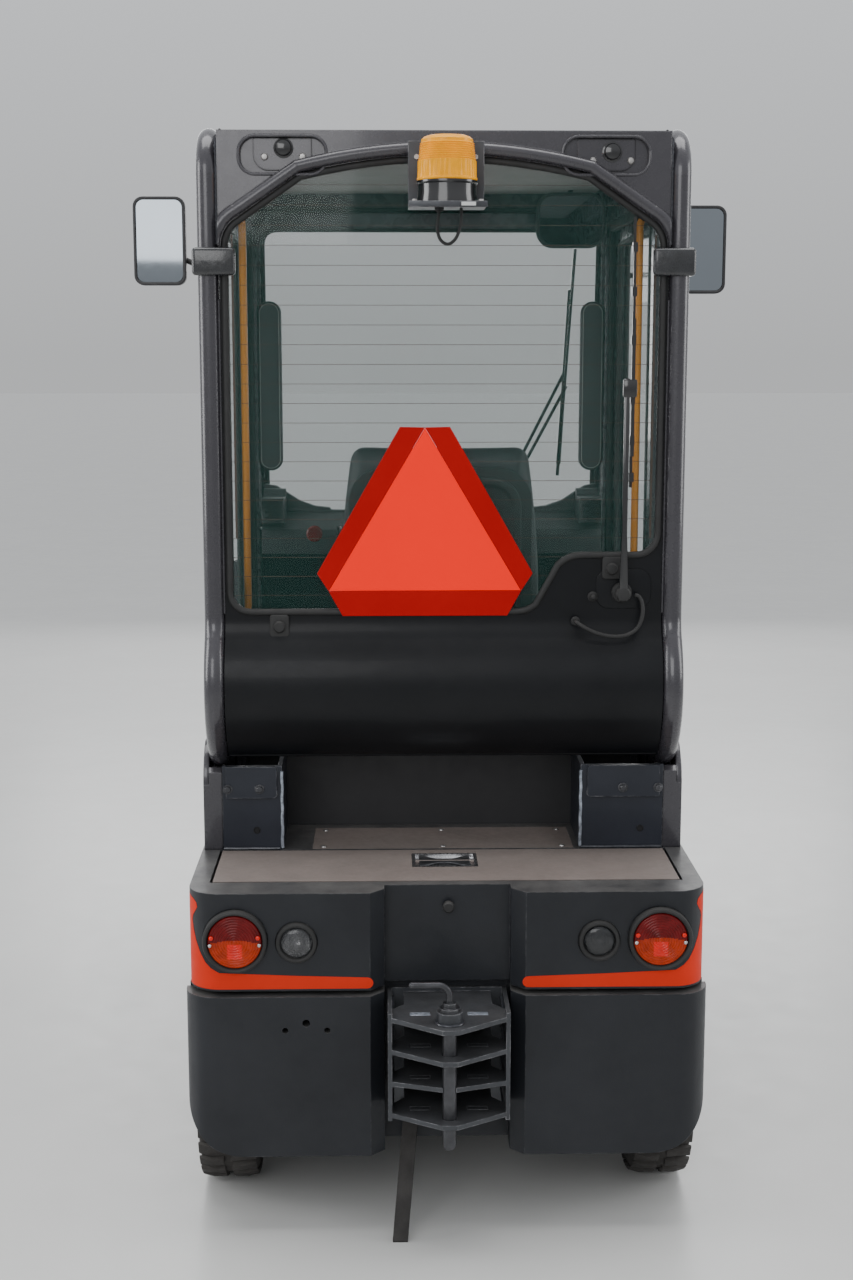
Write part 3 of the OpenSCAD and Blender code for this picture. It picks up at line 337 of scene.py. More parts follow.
class Paint:
    """Finishes of the tug, named for what they cover."""

    # The body's dust amount is partly real dust and partly painted sheen: it pales up-facing faces such as
    # the ledge, as overhead light would.
    BODY = Finish("body_charcoal", (0.0150, 0.0165, 0.0200), 0.40, coat=0.04, specular=0.26, mottle=0.16,
                  dust_and_sheen=0.24, wear=0.35, rounding=0.0025, grain_depth=0.10, grain_scale=300)
    CAB = Finish("cab_anthracite", (0.040, 0.038, 0.045), 0.27, metallic=0.25, coat=0.55, mottle=0.10,
                 dust_and_sheen=0.06, wear=0.15, rounding=0.006, grain_depth=0.05)
    PANEL = Finish("panel_black", (0.0050, 0.0056, 0.0070), 0.35, coat=0.04, specular=0.20, mottle=0.14,
                   dust_and_sheen=0.03, rounding=0.002, grain_depth=0.08)
    FOOT = Finish("foot_bluegrey", (0.018, 0.021, 0.030), 0.34, coat=0.05, specular=0.32, mottle=0.2,
                  dust_and_sheen=0.05, wear=0.8, rounding=0.0015, grain_depth=0.10)
    COUPLING = Finish("coupling_grey", (0.044, 0.047, 0.053), 0.36, metallic=0.35, mottle=0.25,
                      mottle_scale=22, dust_and_sheen=0.1, wear=1.0, rounding=0.0015, grain_depth=0.15)
    CHASSIS = Finish("chassis_black", (0.010, 0.010, 0.011), 0.55, specular=0.3, mottle=0.3, dust_and_sheen=0.10,
                     rounding=0.002)
    DECK = Finish("deck_brown", (0.158, 0.128, 0.115), 0.60, mottle=0.10, mottle_scale=16, dust_and_sheen=0.12,
                  grain=Grain.SPECKLE, grain_scale=700, grain_depth=0.22, wear=0.5,
                  worn=(0.30, 0.26, 0.23), rounding=0.0012)
    STEEL = Finish("bright_steel", (0.56, 0.56, 0.57), 0.28, metallic=1.0, mottle=0.15, mottle_scale=40,
                   grain=Grain.BRUSHED, grain_scale=260, grain_depth=0.12)
    WORN_STEEL = Finish("worn_steel", (0.052, 0.053, 0.058), 0.34, metallic=0.6, mottle=0.4,
                        mottle_scale=30, wear=0.8, rounding=0.001, grain_depth=0.16)
    ZINC = Finish("zinc_fasteners", (0.38, 0.37, 0.36), 0.36, metallic=0.9, mottle=0.3, mottle_scale=60)
    WELD = Finish("weld_seam", (0.040, 0.042, 0.050), 0.30, metallic=0.3, mottle=0.5, mottle_scale=160)
    BARE_WELD = Finish("rubbed_weld", (0.36, 0.40, 0.46), 0.32, metallic=0.6, mottle=0.55, mottle_scale=120)
    RUBBER = Finish("black_rubber", (0.012, 0.012, 0.012), 0.62, mottle=0.2, dust_and_sheen=0.08, grain_depth=0.12)
    TYRE = Finish("tyre_rubber", (0.030, 0.027, 0.025), 0.78, mottle=0.3, mottle_scale=18, dust_and_sheen=0.2,
                  grain_depth=0.30, grain_scale=220, wear=0.35, worn=(0.085, 0.078, 0.07))
    RIM = Finish("rim_grey", (0.20, 0.20, 0.21), 0.42, metallic=0.3, mottle=0.25, mottle_scale=20,
                 dust_and_sheen=0.15, rounding=0.0015)
    GLASS = Finish("tinted_glass", (0.032, 0.115, 0.098), 0.03, coat=0.5, alpha=0.12, mottle=0.03,
                   grain=Grain.NONE)
    MIRROR = Finish("mirror_glass", (0.27, 0.30, 0.33), 0.035, metallic=1.0, mottle=0.02, grain=Grain.NONE)
    TRIM = Finish("grained_plastic", (0.020, 0.020, 0.022), 0.50, mottle=0.15, dust_and_sheen=0.10,
                  grain=Grain.LEATHER, grain_scale=900, grain_depth=0.07, rounding=0.003)
    GLOSS = Finish("gloss_plastic", (0.010, 0.010, 0.011), 0.16, coat=0.5, mottle=0.1, grain=Grain.NONE)
    SEAT = Finish("seat_vinyl", (0.034, 0.035, 0.038), 0.50, mottle=0.15, grain_scale=700, grain_depth=0.12)
    YELLOW = Finish("safety_yellow", (0.76, 0.29, 0.006), 0.34, coat=0.3, mottle=0.08)
    STRIPE = Finish("signal_orange", (0.63, 0.026, 0.006), 0.46, specular=0.12, mottle=0.05, grain_depth=0.03)
    # The middle's glow is painted light: the emblem is no lamp, yet it emits to look brighter.
    EMBLEM_MID = Finish("emblem_orange", (0.95, 0.010, 0.002), 0.55, specular=0.06, mottle=0.02,
                        glow=0.34, grain_depth=0.02)
    EMBLEM_RIM = Finish("emblem_red", (0.42, 0.002, 0.003), 0.42, specular=0.10, mottle=0.05,
                        grain_depth=0.04)
    LENS_RED = Finish("lens_red", (0.12, 0.0015, 0.002), 0.14, coat=0.12, specular=0.15, mottle=0.35,
                      mottle_scale=60, glow=0.02, grain_depth=0.25, grain_scale=120)
    LENS_ORANGE = Finish("lens_orange", (0.36, 0.024, 0.0015), 0.16, coat=0.12, specular=0.15, mottle=0.3,
                         mottle_scale=60, glow=0.03, grain_depth=0.25, grain_scale=120)
    LENS_CORE = Finish("lens_core", (0.62, 0.012, 0.003), 0.18, coat=0.2, specular=0.25, mottle=0.2,
                       mottle_scale=60, glow=0.05, grain_depth=0.25, grain_scale=160)
    LENS_CLEAR = Finish("lens_clear", (0.035, 0.037, 0.040), 0.05, coat=0.5, alpha=0.45, mottle=0.1,
                        grain_depth=0.3, grain_scale=160)
    LENS_HEAD = Finish("lens_head", (0.20, 0.21, 0.22), 0.06, coat=0.6, alpha=0.35, mottle=0.1,
                       grain_depth=0.35, grain_scale=90)
    AMBER = Finish("amber_lens", (0.88, 0.36, 0.001), 0.24, coat=0.1, specular=0.12, mottle=0.12,
                   mottle_scale=30, glow=0.08, grain_depth=0.10)
    COLLAR = Finish("collar_plastic", (0.012, 0.013, 0.015), 0.26, coat=0.45, mottle=0.35,
                    mottle_scale=45, grain_depth=0.35, grain_scale=70)
    HEATER = Finish("heater_line", (0.085, 0.030, 0.018), 0.5, mottle=0.05, grain=Grain.NONE)
    LABEL = Finish("blank_label", (0.62, 0.63, 0.62), 0.4, mottle=0.05)
    LINING = Finish("pale_lining", (0.30, 0.29, 0.28), 0.8, mottle=0.1, grain=Grain.WEAVE,
                    grain_scale=220, grain_depth=0.2)
    STRAP = Finish("strap_rubber", (0.026, 0.024, 0.023), 0.7, specular=0.3, mottle=0.45, mottle_scale=14,
                   dust_and_sheen=0.12, grain_depth=0.3)
    FLOOR = Finish("pale_floor", (0.60, 0.60, 0.585), 0.34, mottle=0.03, mottle_scale=2.2, grain_depth=0.02)


class Bench:
    """Modelling moves that the sub-assemblies share; all their lengths are in millimetres."""

    @staticmethod
    def alone(obj: Piece) -> Piece:
        """Selects one object and nothing else."""
        if bpy.context.mode != "OBJECT":
            bpy.ops.object.mode_set(mode="OBJECT")
        bpy.ops.object.select_all(action="DESELECT")
        obj.select_set(True)
        bpy.context.view_layer.objects.active = obj
        return obj

    @staticmethod
    def clear() -> None:
        """Deselects every object before a primitive is added."""
        if bpy.context.mode != "OBJECT":
            bpy.ops.object.mode_set(mode="OBJECT")
        bpy.ops.object.select_all(action="DESELECT")

    @classmethod
    def settle(cls, obj: Piece, name: str) -> Piece:
        """Names a new object and puts its place into its mesh."""
        obj.name = name
        cls.alone(obj)
        bpy.ops.object.transform_apply(location=True, rotation=True, scale=True)
        return obj

    @classmethod
    def box(cls, name: str, low: Point, high: Point) -> Piece:
        """Adds a box between two opposite corners."""
        cls.clear()
        a, b = (Vector(mm(*corner)) for corner in zip(*(sorted(pair) for pair in zip(low, high))))
        bpy.ops.mesh.primitive_cube_add(size=1, location=(a + b) / 2, scale=b - a)
        return cls.settle(bpy.context.object, name)

    @classmethod
    def rod(cls, name: str, radius: float, length: float, middle: Point, axis: Axis = Axis.Z,
            sides: int = 32) -> Piece:
        """Adds a round bar about its middle."""
        cls.clear()
        bpy.ops.mesh.primitive_cylinder_add(vertices=sides, radius=radius / MM_PER_M,
                                            depth=length / MM_PER_M, location=mm(*middle),
                                            rotation=axis.value)
        return cls.settle(bpy.context.object, name)

    @classmethod
    def ball(cls, name: str, size: Point, middle: Point, sides: int = 24) -> Piece:
        """Adds a ball stretched to three half sizes."""
        cls.clear()
        bpy.ops.mesh.primitive_uv_sphere_add(segments=sides, ring_count=sides // 2, radius=1,
                                             location=mm(*middle), scale=mm(*size))
        return cls.settle(bpy.context.object, name)

    @classmethod
    def sheet(cls, name: str, outline: Sequence[Flat], near: float, far: float,
              facing: str = "Y") -> Piece:
        """Adds a flat piece: a round primitive whose corners are set to an outline, then extruded.

        Args:
            name: Name of the piece.
            outline: Corners, in X and Z for a piece that faces Y, Y and Z for X, and X and Y for Z.
            near: Where the outline lies along the facing direction.
            far: Where the extruded copy ends.
            facing: The direction that it is extruded along.

        Returns:
            The closed piece.
        """
        cls.clear()
        bpy.ops.mesh.primitive_circle_add(vertices=len(outline), fill_type="NGON")
        obj = cls.settle(bpy.context.object, name)
        start, end = mm(near, far)
        index = "XYZ".index(facing)
        for vertex, corner in zip(obj.data.vertices, outline):
            place = list(mm(*corner))
            place.insert(index, start)
            vertex.co = place
        move = [0.0, 0.0, 0.0]
        move[index] = end - start
        bpy.ops.object.mode_set(mode="EDIT")
        bpy.ops.mesh.select_all(action="SELECT")
        bpy.ops.mesh.extrude_region_move(TRANSFORM_OT_translate={"value": move})
        return cls.outward(obj)

    @classmethod
    def lathe(cls, name: str, section: Sequence[Flat], middle: Point, axis: Axis = Axis.Z,
              steps: int = 64) -> Piece:
        """Spins a closed section of radius and height about an axis.

        Args:
            name: Name of the piece.
            section: Closed ring of (radius, height) corners.
            middle: Point on the axis where the height is nothing.
            axis: Direction of the height.
            steps: Number of steps round the axis.

        Returns:
            The closed round piece.
        """
        cls.clear()
        bpy.ops.mesh.primitive_circle_add(vertices=len(section), fill_type="NOTHING")
        obj = cls.settle(bpy.context.object, name)
        for vertex, (radius, height) in zip(obj.data.vertices, section):
            vertex.co = mm(max(radius, 0.0), 0.0, height)
        bpy.ops.object.mode_set(mode="EDIT")
        bpy.ops.mesh.select_all(action="SELECT")
        bpy.ops.mesh.spin(steps=steps, angle=2 * math.pi, center=(0, 0, 0), axis=(0, 0, 1))
        bpy.ops.mesh.select_all(action="SELECT")
        bpy.ops.mesh.remove_doubles(threshold=WELD_WITHIN)
        cls.outward(obj)
        obj.rotation_euler = axis.value
        obj.location = mm(*middle)
        return cls.settle(obj, name)

    @classmethod
    def bead(cls, name: str, points: Sequence[Point], radius: float, closed: bool = False,
             sides: int = 3) -> Piece:
        """Makes a round bead or tube along points, as a mesh."""
        cls.clear()
        obj = cls.line(name, points, radius, closed, sides)
        cls.alone(obj)
        bpy.ops.object.convert(target="MESH")
        return cls.settle(bpy.context.object, name)

    @staticmethod
    def line(name: str, points: Sequence[Point], radius: float, closed: bool = False,
             sides: int = 3) -> Piece:
        """Makes a curve of one spline with a round section."""
        curve = bpy.data.curves.new(name, "CURVE")
        curve.dimensions = "3D"
        curve.bevel_depth = radius / MM_PER_M
        curve.bevel_resolution = sides
        curve.use_fill_caps = True
        spline = curve.splines.new("POLY")
        spline.points.add(len(points) - 1)
        for target, point in zip(spline.points, points):
            target.co = (*mm(*point), 1)
        spline.use_cyclic_u = closed
        obj = bpy.data.objects.new(name, curve)
        bpy.context.scene.collection.objects.link(obj)
        return obj

    @classmethod
    def outward(cls, obj: Piece) -> Piece:
        """Turns all faces outwards and leaves edit mode."""
        if bpy.context.mode != "EDIT_MESH":
            cls.alone(obj)
            bpy.ops.object.mode_set(mode="EDIT")
        bpy.ops.mesh.select_all(action="SELECT")
        bpy.ops.mesh.normals_make_consistent(inside=False)
        bpy.ops.object.mode_set(mode="OBJECT")
        return obj

    @classmethod
    def pick(cls, obj: Piece, test: FaceTest) -> None:
        """Enters edit mode with the faces selected that pass a test of middle and normal."""
        cls.alone(obj)
        bpy.ops.object.mode_set(mode="EDIT")
        bpy.ops.mesh.select_mode(type="FACE")
        bpy.ops.mesh.select_all(action="DESELECT")
        mesh = bmesh.from_edit_mesh(obj.data)
        for face in mesh.faces:
            face.select_set(bool(test(face.calc_center_median(), face.normal)))
        bmesh.update_edit_mesh(obj.data)

    @classmethod
    def inset(cls, obj: Piece, test: FaceTest, width: float, depth: float = 0.0,
              each: bool = False) -> Piece:
        """Insets the faces that pass a test, and sinks or raises them."""
        cls.pick(obj, test)
        bpy.ops.mesh.inset(thickness=width / MM_PER_M, depth=depth / MM_PER_M, use_individual=each)
        bpy.ops.object.mode_set(mode="OBJECT")
        return obj

    @classmethod
    def push(cls, obj: Piece, test: FaceTest, move: Point) -> Piece:
        """Extrudes the faces that pass a test."""
        cls.pick(obj, test)
        bpy.ops.mesh.extrude_region_move(TRANSFORM_OT_translate={"value": mm(*move)})
        bpy.ops.object.mode_set(mode="OBJECT")
        return obj

    @classmethod
    def cut(cls, obj: Piece, places: Sequence[float], direction: Point) -> Piece:
        """Cuts a mesh across one direction at several places."""
        cls.alone(obj)
        bpy.ops.object.mode_set(mode="EDIT")
        for place in places:
            bpy.ops.mesh.select_all(action="SELECT")
            bpy.ops.mesh.bisect(plane_co=Vector(direction) * (place / MM_PER_M), plane_no=direction)
        bpy.ops.object.mode_set(mode="OBJECT")
        return obj

    @classmethod
    def round_off(cls, obj: Piece, width: float, segments: int = 2, angle: float = 35) -> Piece:
        """Rounds the sharp edges of a piece."""
        cls.alone(obj)
        bevel = obj.modifiers.new("round", "BEVEL")
        bevel.width = width / MM_PER_M
        bevel.segments = segments
        bevel.limit_method = "ANGLE"
        bevel.angle_limit = math.radians(angle)
        bevel.harden_normals = False
        bpy.ops.object.modifier_apply(modifier=bevel.name)
        return obj

    @classmethod
    def together(cls, name: str, parts: Sequence[Piece]) -> Piece:
        """Joins pieces into one, which takes the name."""
        cls.clear()
        for part in parts:
            part.select_set(True)
        bpy.context.view_layer.objects.active = parts[0]
        if len(parts) > 1:
            bpy.ops.object.join()
        parts[0].name = name
        return parts[0]

    @classmethod
    def copy(cls, obj: Piece, name: str, move: Point = (0, 0, 0), mirror: bool = False,
             turn: Optional[Matrix] = None) -> Piece:
        """Copies a piece with its own mesh, moved, turned, or mirrored across the middle."""
        twin = obj.copy()
        twin.data = obj.data.copy()
        bpy.context.scene.collection.objects.link(twin)
        if turn is not None:
            twin.data.transform(turn)
        if mirror:
            cls.flip(twin)
        twin.data.transform(Matrix.Translation(mm(*move)))
        twin.name = name
        return twin

    @classmethod
    def flip(cls, obj: Piece) -> Piece:
        """Mirrors a piece across the middle of the tug."""
        obj.data.transform(Matrix.Diagonal((-1, 1, 1, 1)))
        return cls.outward(obj)


def looks(direction: Point, near: Optional[Point] = None, within: float = 0.0) -> FaceTest:
    """Makes a test for the faces that look one way.

    Args:
        direction: The way, with a length of one.
        near: Where the middle of the face is, in millimetres, or None where that doesn't count.
        within: How far off that the middle may be, across the direction, in millimetres.

    Returns:
        The test of a face's middle and normal.
    """
    way = Vector(direction)

    def test(middle: Vector, normal: Vector) -> bool:
        """Tells whether a face looks that way in that place."""
        if normal.dot(way) <= SQUARE_ON:
            return False
        if near is None:
            return True
        away = middle - Vector(mm(*near))
        return (away - way * away.dot(way)).length < within / MM_PER_M

    return test


def arc(centre: Flat, radius: float, start: float, end: float, steps: int) -> list[Flat]:
    """Points on an arc.

    Args:
        centre: Middle of the arc.
        radius: Its radius.
        start: First angle in degrees.
        end: Last angle in degrees.
        steps: Number of steps.

    Returns:
        The points from the first angle to the last.
    """
    turns = [math.radians(start + (end - start) * i / steps) for i in range(steps + 1)]
    return [(centre[0] + radius * math.cos(t), centre[1] + radius * math.sin(t)) for t in turns]


def ripple(turn: float, count: int) -> float:
    """Rises from nothing to 1 and falls back, so many times in a full turn."""
    return 0.5 + 0.5 * math.cos(count * turn)


def rounded(low: Flat, high: Flat, radius: float, steps: int = 6) -> list[Flat]:
    """Corner points of a rounded rectangle, anticlockwise."""
    (x0, y0), (x1, y1) = low, high
    corners = (((x1 - radius, y0 + radius), 270), ((x1 - radius, y1 - radius), 0),
               ((x0 + radius, y1 - radius), 90), ((x0 + radius, y0 + radius), 180))
    return [p for centre, start in corners for p in arc(centre, radius, start, start + 90, steps)]


def inward(outline: Sequence[Flat], distance: float) -> list[Flat]:
    """Moves an anticlockwise outline inwards along its corners' middle lines."""
    moved = []
    count = len(outline)
    for i in range(count):
        before, here, after = (Vector(outline[(i + k) % count]) for k in (-1, 0, 1))
        first, second = (here - before).normalized(), (after - here).normalized()
        middle = Vector((-(first.y + second.y), first.x + second.x))
        moved.append(tuple(here + middle * distance / (middle.length_squared / 2)))
    return moved


def smooth_path(points: Sequence[Point], steps: int = 4) -> list[Point]:
    """Runs a smooth line through points.

    Args:
        points: The points that the line passes through.
        steps: Steps between one point and the next.

    Returns:
        The closer points of the smooth line.
    """
    knots = [Vector(p) for p in points]
    ends = [2 * knots[0] - knots[1], *knots, 2 * knots[-1] - knots[-2]]
    made = []
    for i in range(1, len(ends) - 2):
        a, b, c, d = ends[i - 1:i + 3]
        for k in range(steps):
            t = k / steps
            made.append(0.5 * ((2 * b) + (c - a) * t + (2 * a - 5 * b + 4 * c - d) * t * t
                               + (3 * b - a - 3 * c + d) * t ** 3))
    made.append(knots[-1])
    return [tuple(p) for p in made]


@dataclass
class Assembly:
    """A sub-assembly: it builds its pieces, and dresses and hangs them on their bodies."""

    made: list[str] = field(default_factory=list)

    def build(self) -> None:
        """Builds every piece of the sub-assembly."""
        raise NotImplementedError

    def keep(self, obj: Piece, finish: Optional[Finish], slot: str, body: Body = Body.ROOT,
             stands_for: Sequence[str] = (), angle: float = 32) -> Piece:
        """Dresses a piece, hangs it on its body and reports it.

        Args:
            obj: The piece.
            finish: Its finish, or None where its faces have their own.
            slot: The record's material slot; not used.
            body: The body that it moves with.
            stands_for: CAD nodes that it replaces.
            angle: Edges flatter than this are shaded smooth.

        Returns:
            The piece.
        """
        if finish is not None:
            obj.data.materials.clear()
            obj.data.materials.append(finish.material())
        if obj.type == "MESH":
            Bench.alone(obj)
            bpy.ops.object.shade_smooth_by_angle(angle=math.radians(angle))
        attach(obj, body.value)
        if stands_for:
            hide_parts(*stands_for)
        self.made.append(obj.name)
        LOG.info("%s: %s", type(self).__name__, obj.name)
        return obj

    def group(self, name: str, parts: Sequence[Piece], finish: Finish, slot: str,
              body: Body = Body.ROOT, stands_for: Sequence[str] = ()) -> Piece:
        """Joins parts into one piece, then dresses and hangs it."""
        return self.keep(Bench.together(name, parts), finish, slot, body, stands_for)

    @staticmethod
    def dress(finish: Finish, *nodes: str) -> None:
        """Gives CAD nodes a finish."""
        for name in nodes:
            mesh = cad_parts[name].data
            mesh.materials.clear()
            mesh.materials.append(finish.material())

    @staticmethod
    def paint(obj: Piece, *layers: tuple[Finish, FaceTest]) -> Piece:
        """Gives a piece's faces several finishes; the last test that a face passes counts."""
        obj.data.materials.clear()
        for finish, _ in layers:
            obj.data.materials.append(finish.material())
        for face in obj.data.polygons:
            for index, (_, test) in enumerate(layers):
                if test(face.center, face.normal):
                    face.material_index = index
        return obj


@dataclass
class Studio:
    """Camera, floor and lights."""

    camera_at: Point = (-0.108, -3.900, 1.635)
    pitch: float = 9.17
    turn: float = 1.25
    lens: float = 49.5

    def build(self) -> None:
        """Places the camera, the floor and the lights."""
        camera = bpy.data.cameras.new("camera")
        camera.lens = self.lens
        holder = bpy.data.objects.new("camera", camera)
        holder.location = self.camera_at
        holder.rotation_euler = (math.radians(90 - self.pitch), 0, math.radians(-self.turn))
        bpy.context.scene.collection.objects.link(holder)
        bpy.context.scene.camera = holder
        Bench.clear()
        bpy.ops.mesh.primitive_grid_add(x_subdivisions=8, y_subdivisions=8, size=90,
                                        location=(0, 30, -0.0003))
        floor = Bench.settle(bpy.context.object, "floor")
        floor.data.materials.append(Paint.FLOOR.material())
        world = bpy.data.worlds.new("studio")
        world.use_nodes = True
        self.sky(world.node_tree)
        bpy.context.scene.world = world
        self.light("overhead", (0, -0.4, 5.2), (0, 0, 0), (5.0, 2.2), 150)
        self.light("behind_camera", (-1.8, -6.2, 3.4), (62, 0, -16), (3.4, 2.6), 90)
        self.light("left_wall", (-4.6, -0.6, 2.2), (84, 0, -96), (1.8, 2.6), 80)
        self.light("right_wall", (4.6, -0.6, 2.2), (84, 0, 94), (1.8, 2.6), 60)
        self.light("front_gate", (0.2, 6.5, 2.6), (-78, 0, 0), (5.0, 3.0), 120)

    @staticmethod
    def sky(tree: bpy.types.NodeTree) -> None:
        """Makes a backdrop that is darker at the horizon, where the floor runs out, than overhead."""
        backdrop = tree.nodes["Background"]
        backdrop.inputs["Strength"].default_value = 0.95
        place = tree.nodes.new("ShaderNodeTexCoord")
        split = tree.nodes.new("ShaderNodeSeparateXYZ")
        ramp = tree.nodes.new("ShaderNodeValToRGB")
        ramp.color_ramp.elements[0].position = 0.0
        ramp.color_ramp.elements[0].color = (0.57, 0.58, 0.59, 1)
        ramp.color_ramp.elements[1].position = 0.30
        ramp.color_ramp.elements[1].color = (0.88, 0.90, 0.93, 1)
        tree.links.new(place.outputs["Generated"], split.inputs[0])
        tree.links.new(split.outputs["Z"], ramp.inputs["Fac"])
        tree.links.new(ramp.outputs["Color"], backdrop.inputs["Color"])

    @staticmethod
    def light(name: str, at: Point, turn: Point, size: Flat, watts: float) -> None:
        """Adds a soft rectangular light.

        Args:
            name: Name of the light.
            at: Its place.
            turn: Its Euler turn in degrees.
            size: Width and height.
            watts: Its power.
        """
        lamp = bpy.data.lights.new(name, "AREA")
        lamp.shape = "RECTANGLE"
        lamp.size, lamp.size_y = size
        lamp.energy = watts
        holder = bpy.data.objects.new(name, lamp)
        holder.location = at
        holder.rotation_euler = tuple(math.radians(t) for t in turn)
        bpy.context.scene.collection.objects.link(holder)


@dataclass
class Cords(Assembly):
    """The beacon's lead and the rear washer's hose."""

    lead: Sequence[Point] = ((-12, -585, 1903.3), (-14, -585, 1886), (-16, -585, 1866), (-10, -585, 1846),
                             (4, -586, 1838), (18, -587, 1848), (26, -588, 1868), (28, -588, 1886),
                             (28, -588, 1903.3))
    hose: Sequence[Point] = ((256, -520.4, 1125), (256, -527, 1125), (268, -533, 1117), (285, -535, 1108),
                             (309, -536, 1100), (335, -535, 1097), (358, -533, 1101), (376, -530, 1114),
                             (385, -527, 1136), (385, -525, 1158), (379, -523, 1173), (370, -523, 1177))

    def build(self) -> None:
        """Lays both cords along their routes."""
        for name, route, radius, node in (("beacon_cord", self.lead, 3, "beacon_lead"),
                                          ("washer_tube", self.hose, 4, "washer_hose")):
            points = smooth_path(route, 3)
            cord = Bench.line(name, points, radius, sides=4)
            self.keep(cord, Paint.RUBBER, "rubber", stands_for=(node,))


@dataclass
class Lamps(Assembly):
    """Tail lamps and the small lamps beside them."""

    tail_x: float = 393
    small_x: float = 280
    face: float = -780
    tail_z: float = 571
    small_z: float = 567

    def build(self) -> None:
        """Builds both tail lamps and both small lamps."""
        for side, name in NAMED_SIDES:
            self.tail(side * self.tail_x, name)
            self.small(side * self.small_x, name)

    def tail(self, x: float, name: str) -> None:
        """Builds a tail lamp: rubber bezel, ribbed lens of two colours, two screws.

        Args:
            x: Its place across, in millimetres.
            name: Side, for the pieces' names.
        """
        at = (x, self.face, self.tail_z)
        profile = ((50, -44), (59.6, -44), (59.6, 9), (58.5, 12.5), (55.5, 14), (52.5, 13), (50.6, 9),
                   (50, 4))
        bezel = Bench.lathe("tail_bezel_" + name, profile, at, Axis.BACK)
        section = [(0.0, 4.0), (50.0, 4.0), (50.0, 7.0)]
        for i in range(30, 0, -1):
            radius = 49.6 * i / 30
            rib = 1.1 if i % 3 == 0 else 0.0
            section.append((radius, 8.0 + 6.5 * math.sqrt(max(0.0, 1 - (radius / 54) ** 2)) - rib))
        section.append((0.0, 14.5))
        lens = Bench.lathe("tail_lens_" + name, section, at, Axis.BACK, 72)

        def place(point: Vector) -> Flat:
            """Gives a point's distances from the lamp's middle in millimetres."""
            return (point.x - mm(x)[0]) * MM_PER_M, (point.z - mm(self.tail_z)[0]) * MM_PER_M

        def low(point: Vector, _: Vector) -> bool:
            """Picks the lower part of the lens, under a bowed line."""
            u, v = place(point)
            return v < 5 - (u / 50) ** 2 * 9

        def core(point: Vector, _: Vector) -> bool:
            """Picks the bright block in the lower part."""
            u, v = place(point)
            return abs(u) < 13.5 and -31 < v < -3

        self.paint(lens, (Paint.LENS_RED, lambda p, n: True), (Paint.LENS_ORANGE, low),
                   (Paint.LENS_CORE, core))
        screws, dots = [], []
        for side in SIDES:
            for made, kind, out, lift, size in ((screws, "screw", 45.5, -5, 3.6), (dots, "dot", 43, 9, 4.4)):
                middle = (x + side * out, self.face - 13.2, self.tail_z + lift)
                made.append(Bench.ball(f"{kind}_{name}_{side}", (size, 2.4, size), middle, 12))
        self.keep(bezel, Paint.RUBBER, "rubber", stands_for=("rear_lamps",) if x < 0 else ())
        self.keep(lens, None, "lamp", angle=50)
        self.group("tail_screws_" + name, screws, Paint.STEEL, "steel_worn")
        self.group("tail_dots_" + name, dots, Paint.LENS_CORE, "lamp")

    def small(self, x: float, name: str) -> None:
        """Builds a small lamp: thick bezel, bowl and a clear domed lens; the left bowl is bright steel, the
        right one gloss black as painted shade.

        Args:
            x: Its place across, in millimetres.
            name: Side, for the pieces' names.
        """
        at = (x, self.face, self.small_z)
        profile = ((29, -46), (38.6, -46), (38.6, 3), (37, 7), (34, 8), (31, 7), (29.6, 4), (29, -1))
        bezel = Bench.lathe("small_bezel_" + name, profile, at, Axis.BACK, 48)
        profile = ((0, -27), (9, -26), (18, -20), (25, -12), (29.2, -2), (29.2, -5), (25.5, -15),
                   (18, -24), (9, -29), (0, -30))
        bowl = Bench.lathe("small_bowl_" + name, profile, at, Axis.BACK, 48)
        dome = [(29.3 * math.cos(t), 1 + 9.0 * math.sin(t)) for t in [math.pi / 2 * k / 9 for k in range(10)]]
        inner = [(r * 0.93, h - 1.8) for r, h in reversed(dome)]
        lens = Bench.lathe("small_lens_" + name, dome + inner, at, Axis.BACK, 48)
        self.keep(bezel, Paint.RUBBER, "rubber")
        # The same bowl is bright steel on the left and gloss black on the right: painted shade for the less
        # lit right side.
        self.keep(bowl, Paint.STEEL if x < 0 else Paint.GLOSS, "lamp", angle=60)
        self.keep(lens, Paint.LENS_CLEAR, "lamp", angle=60)


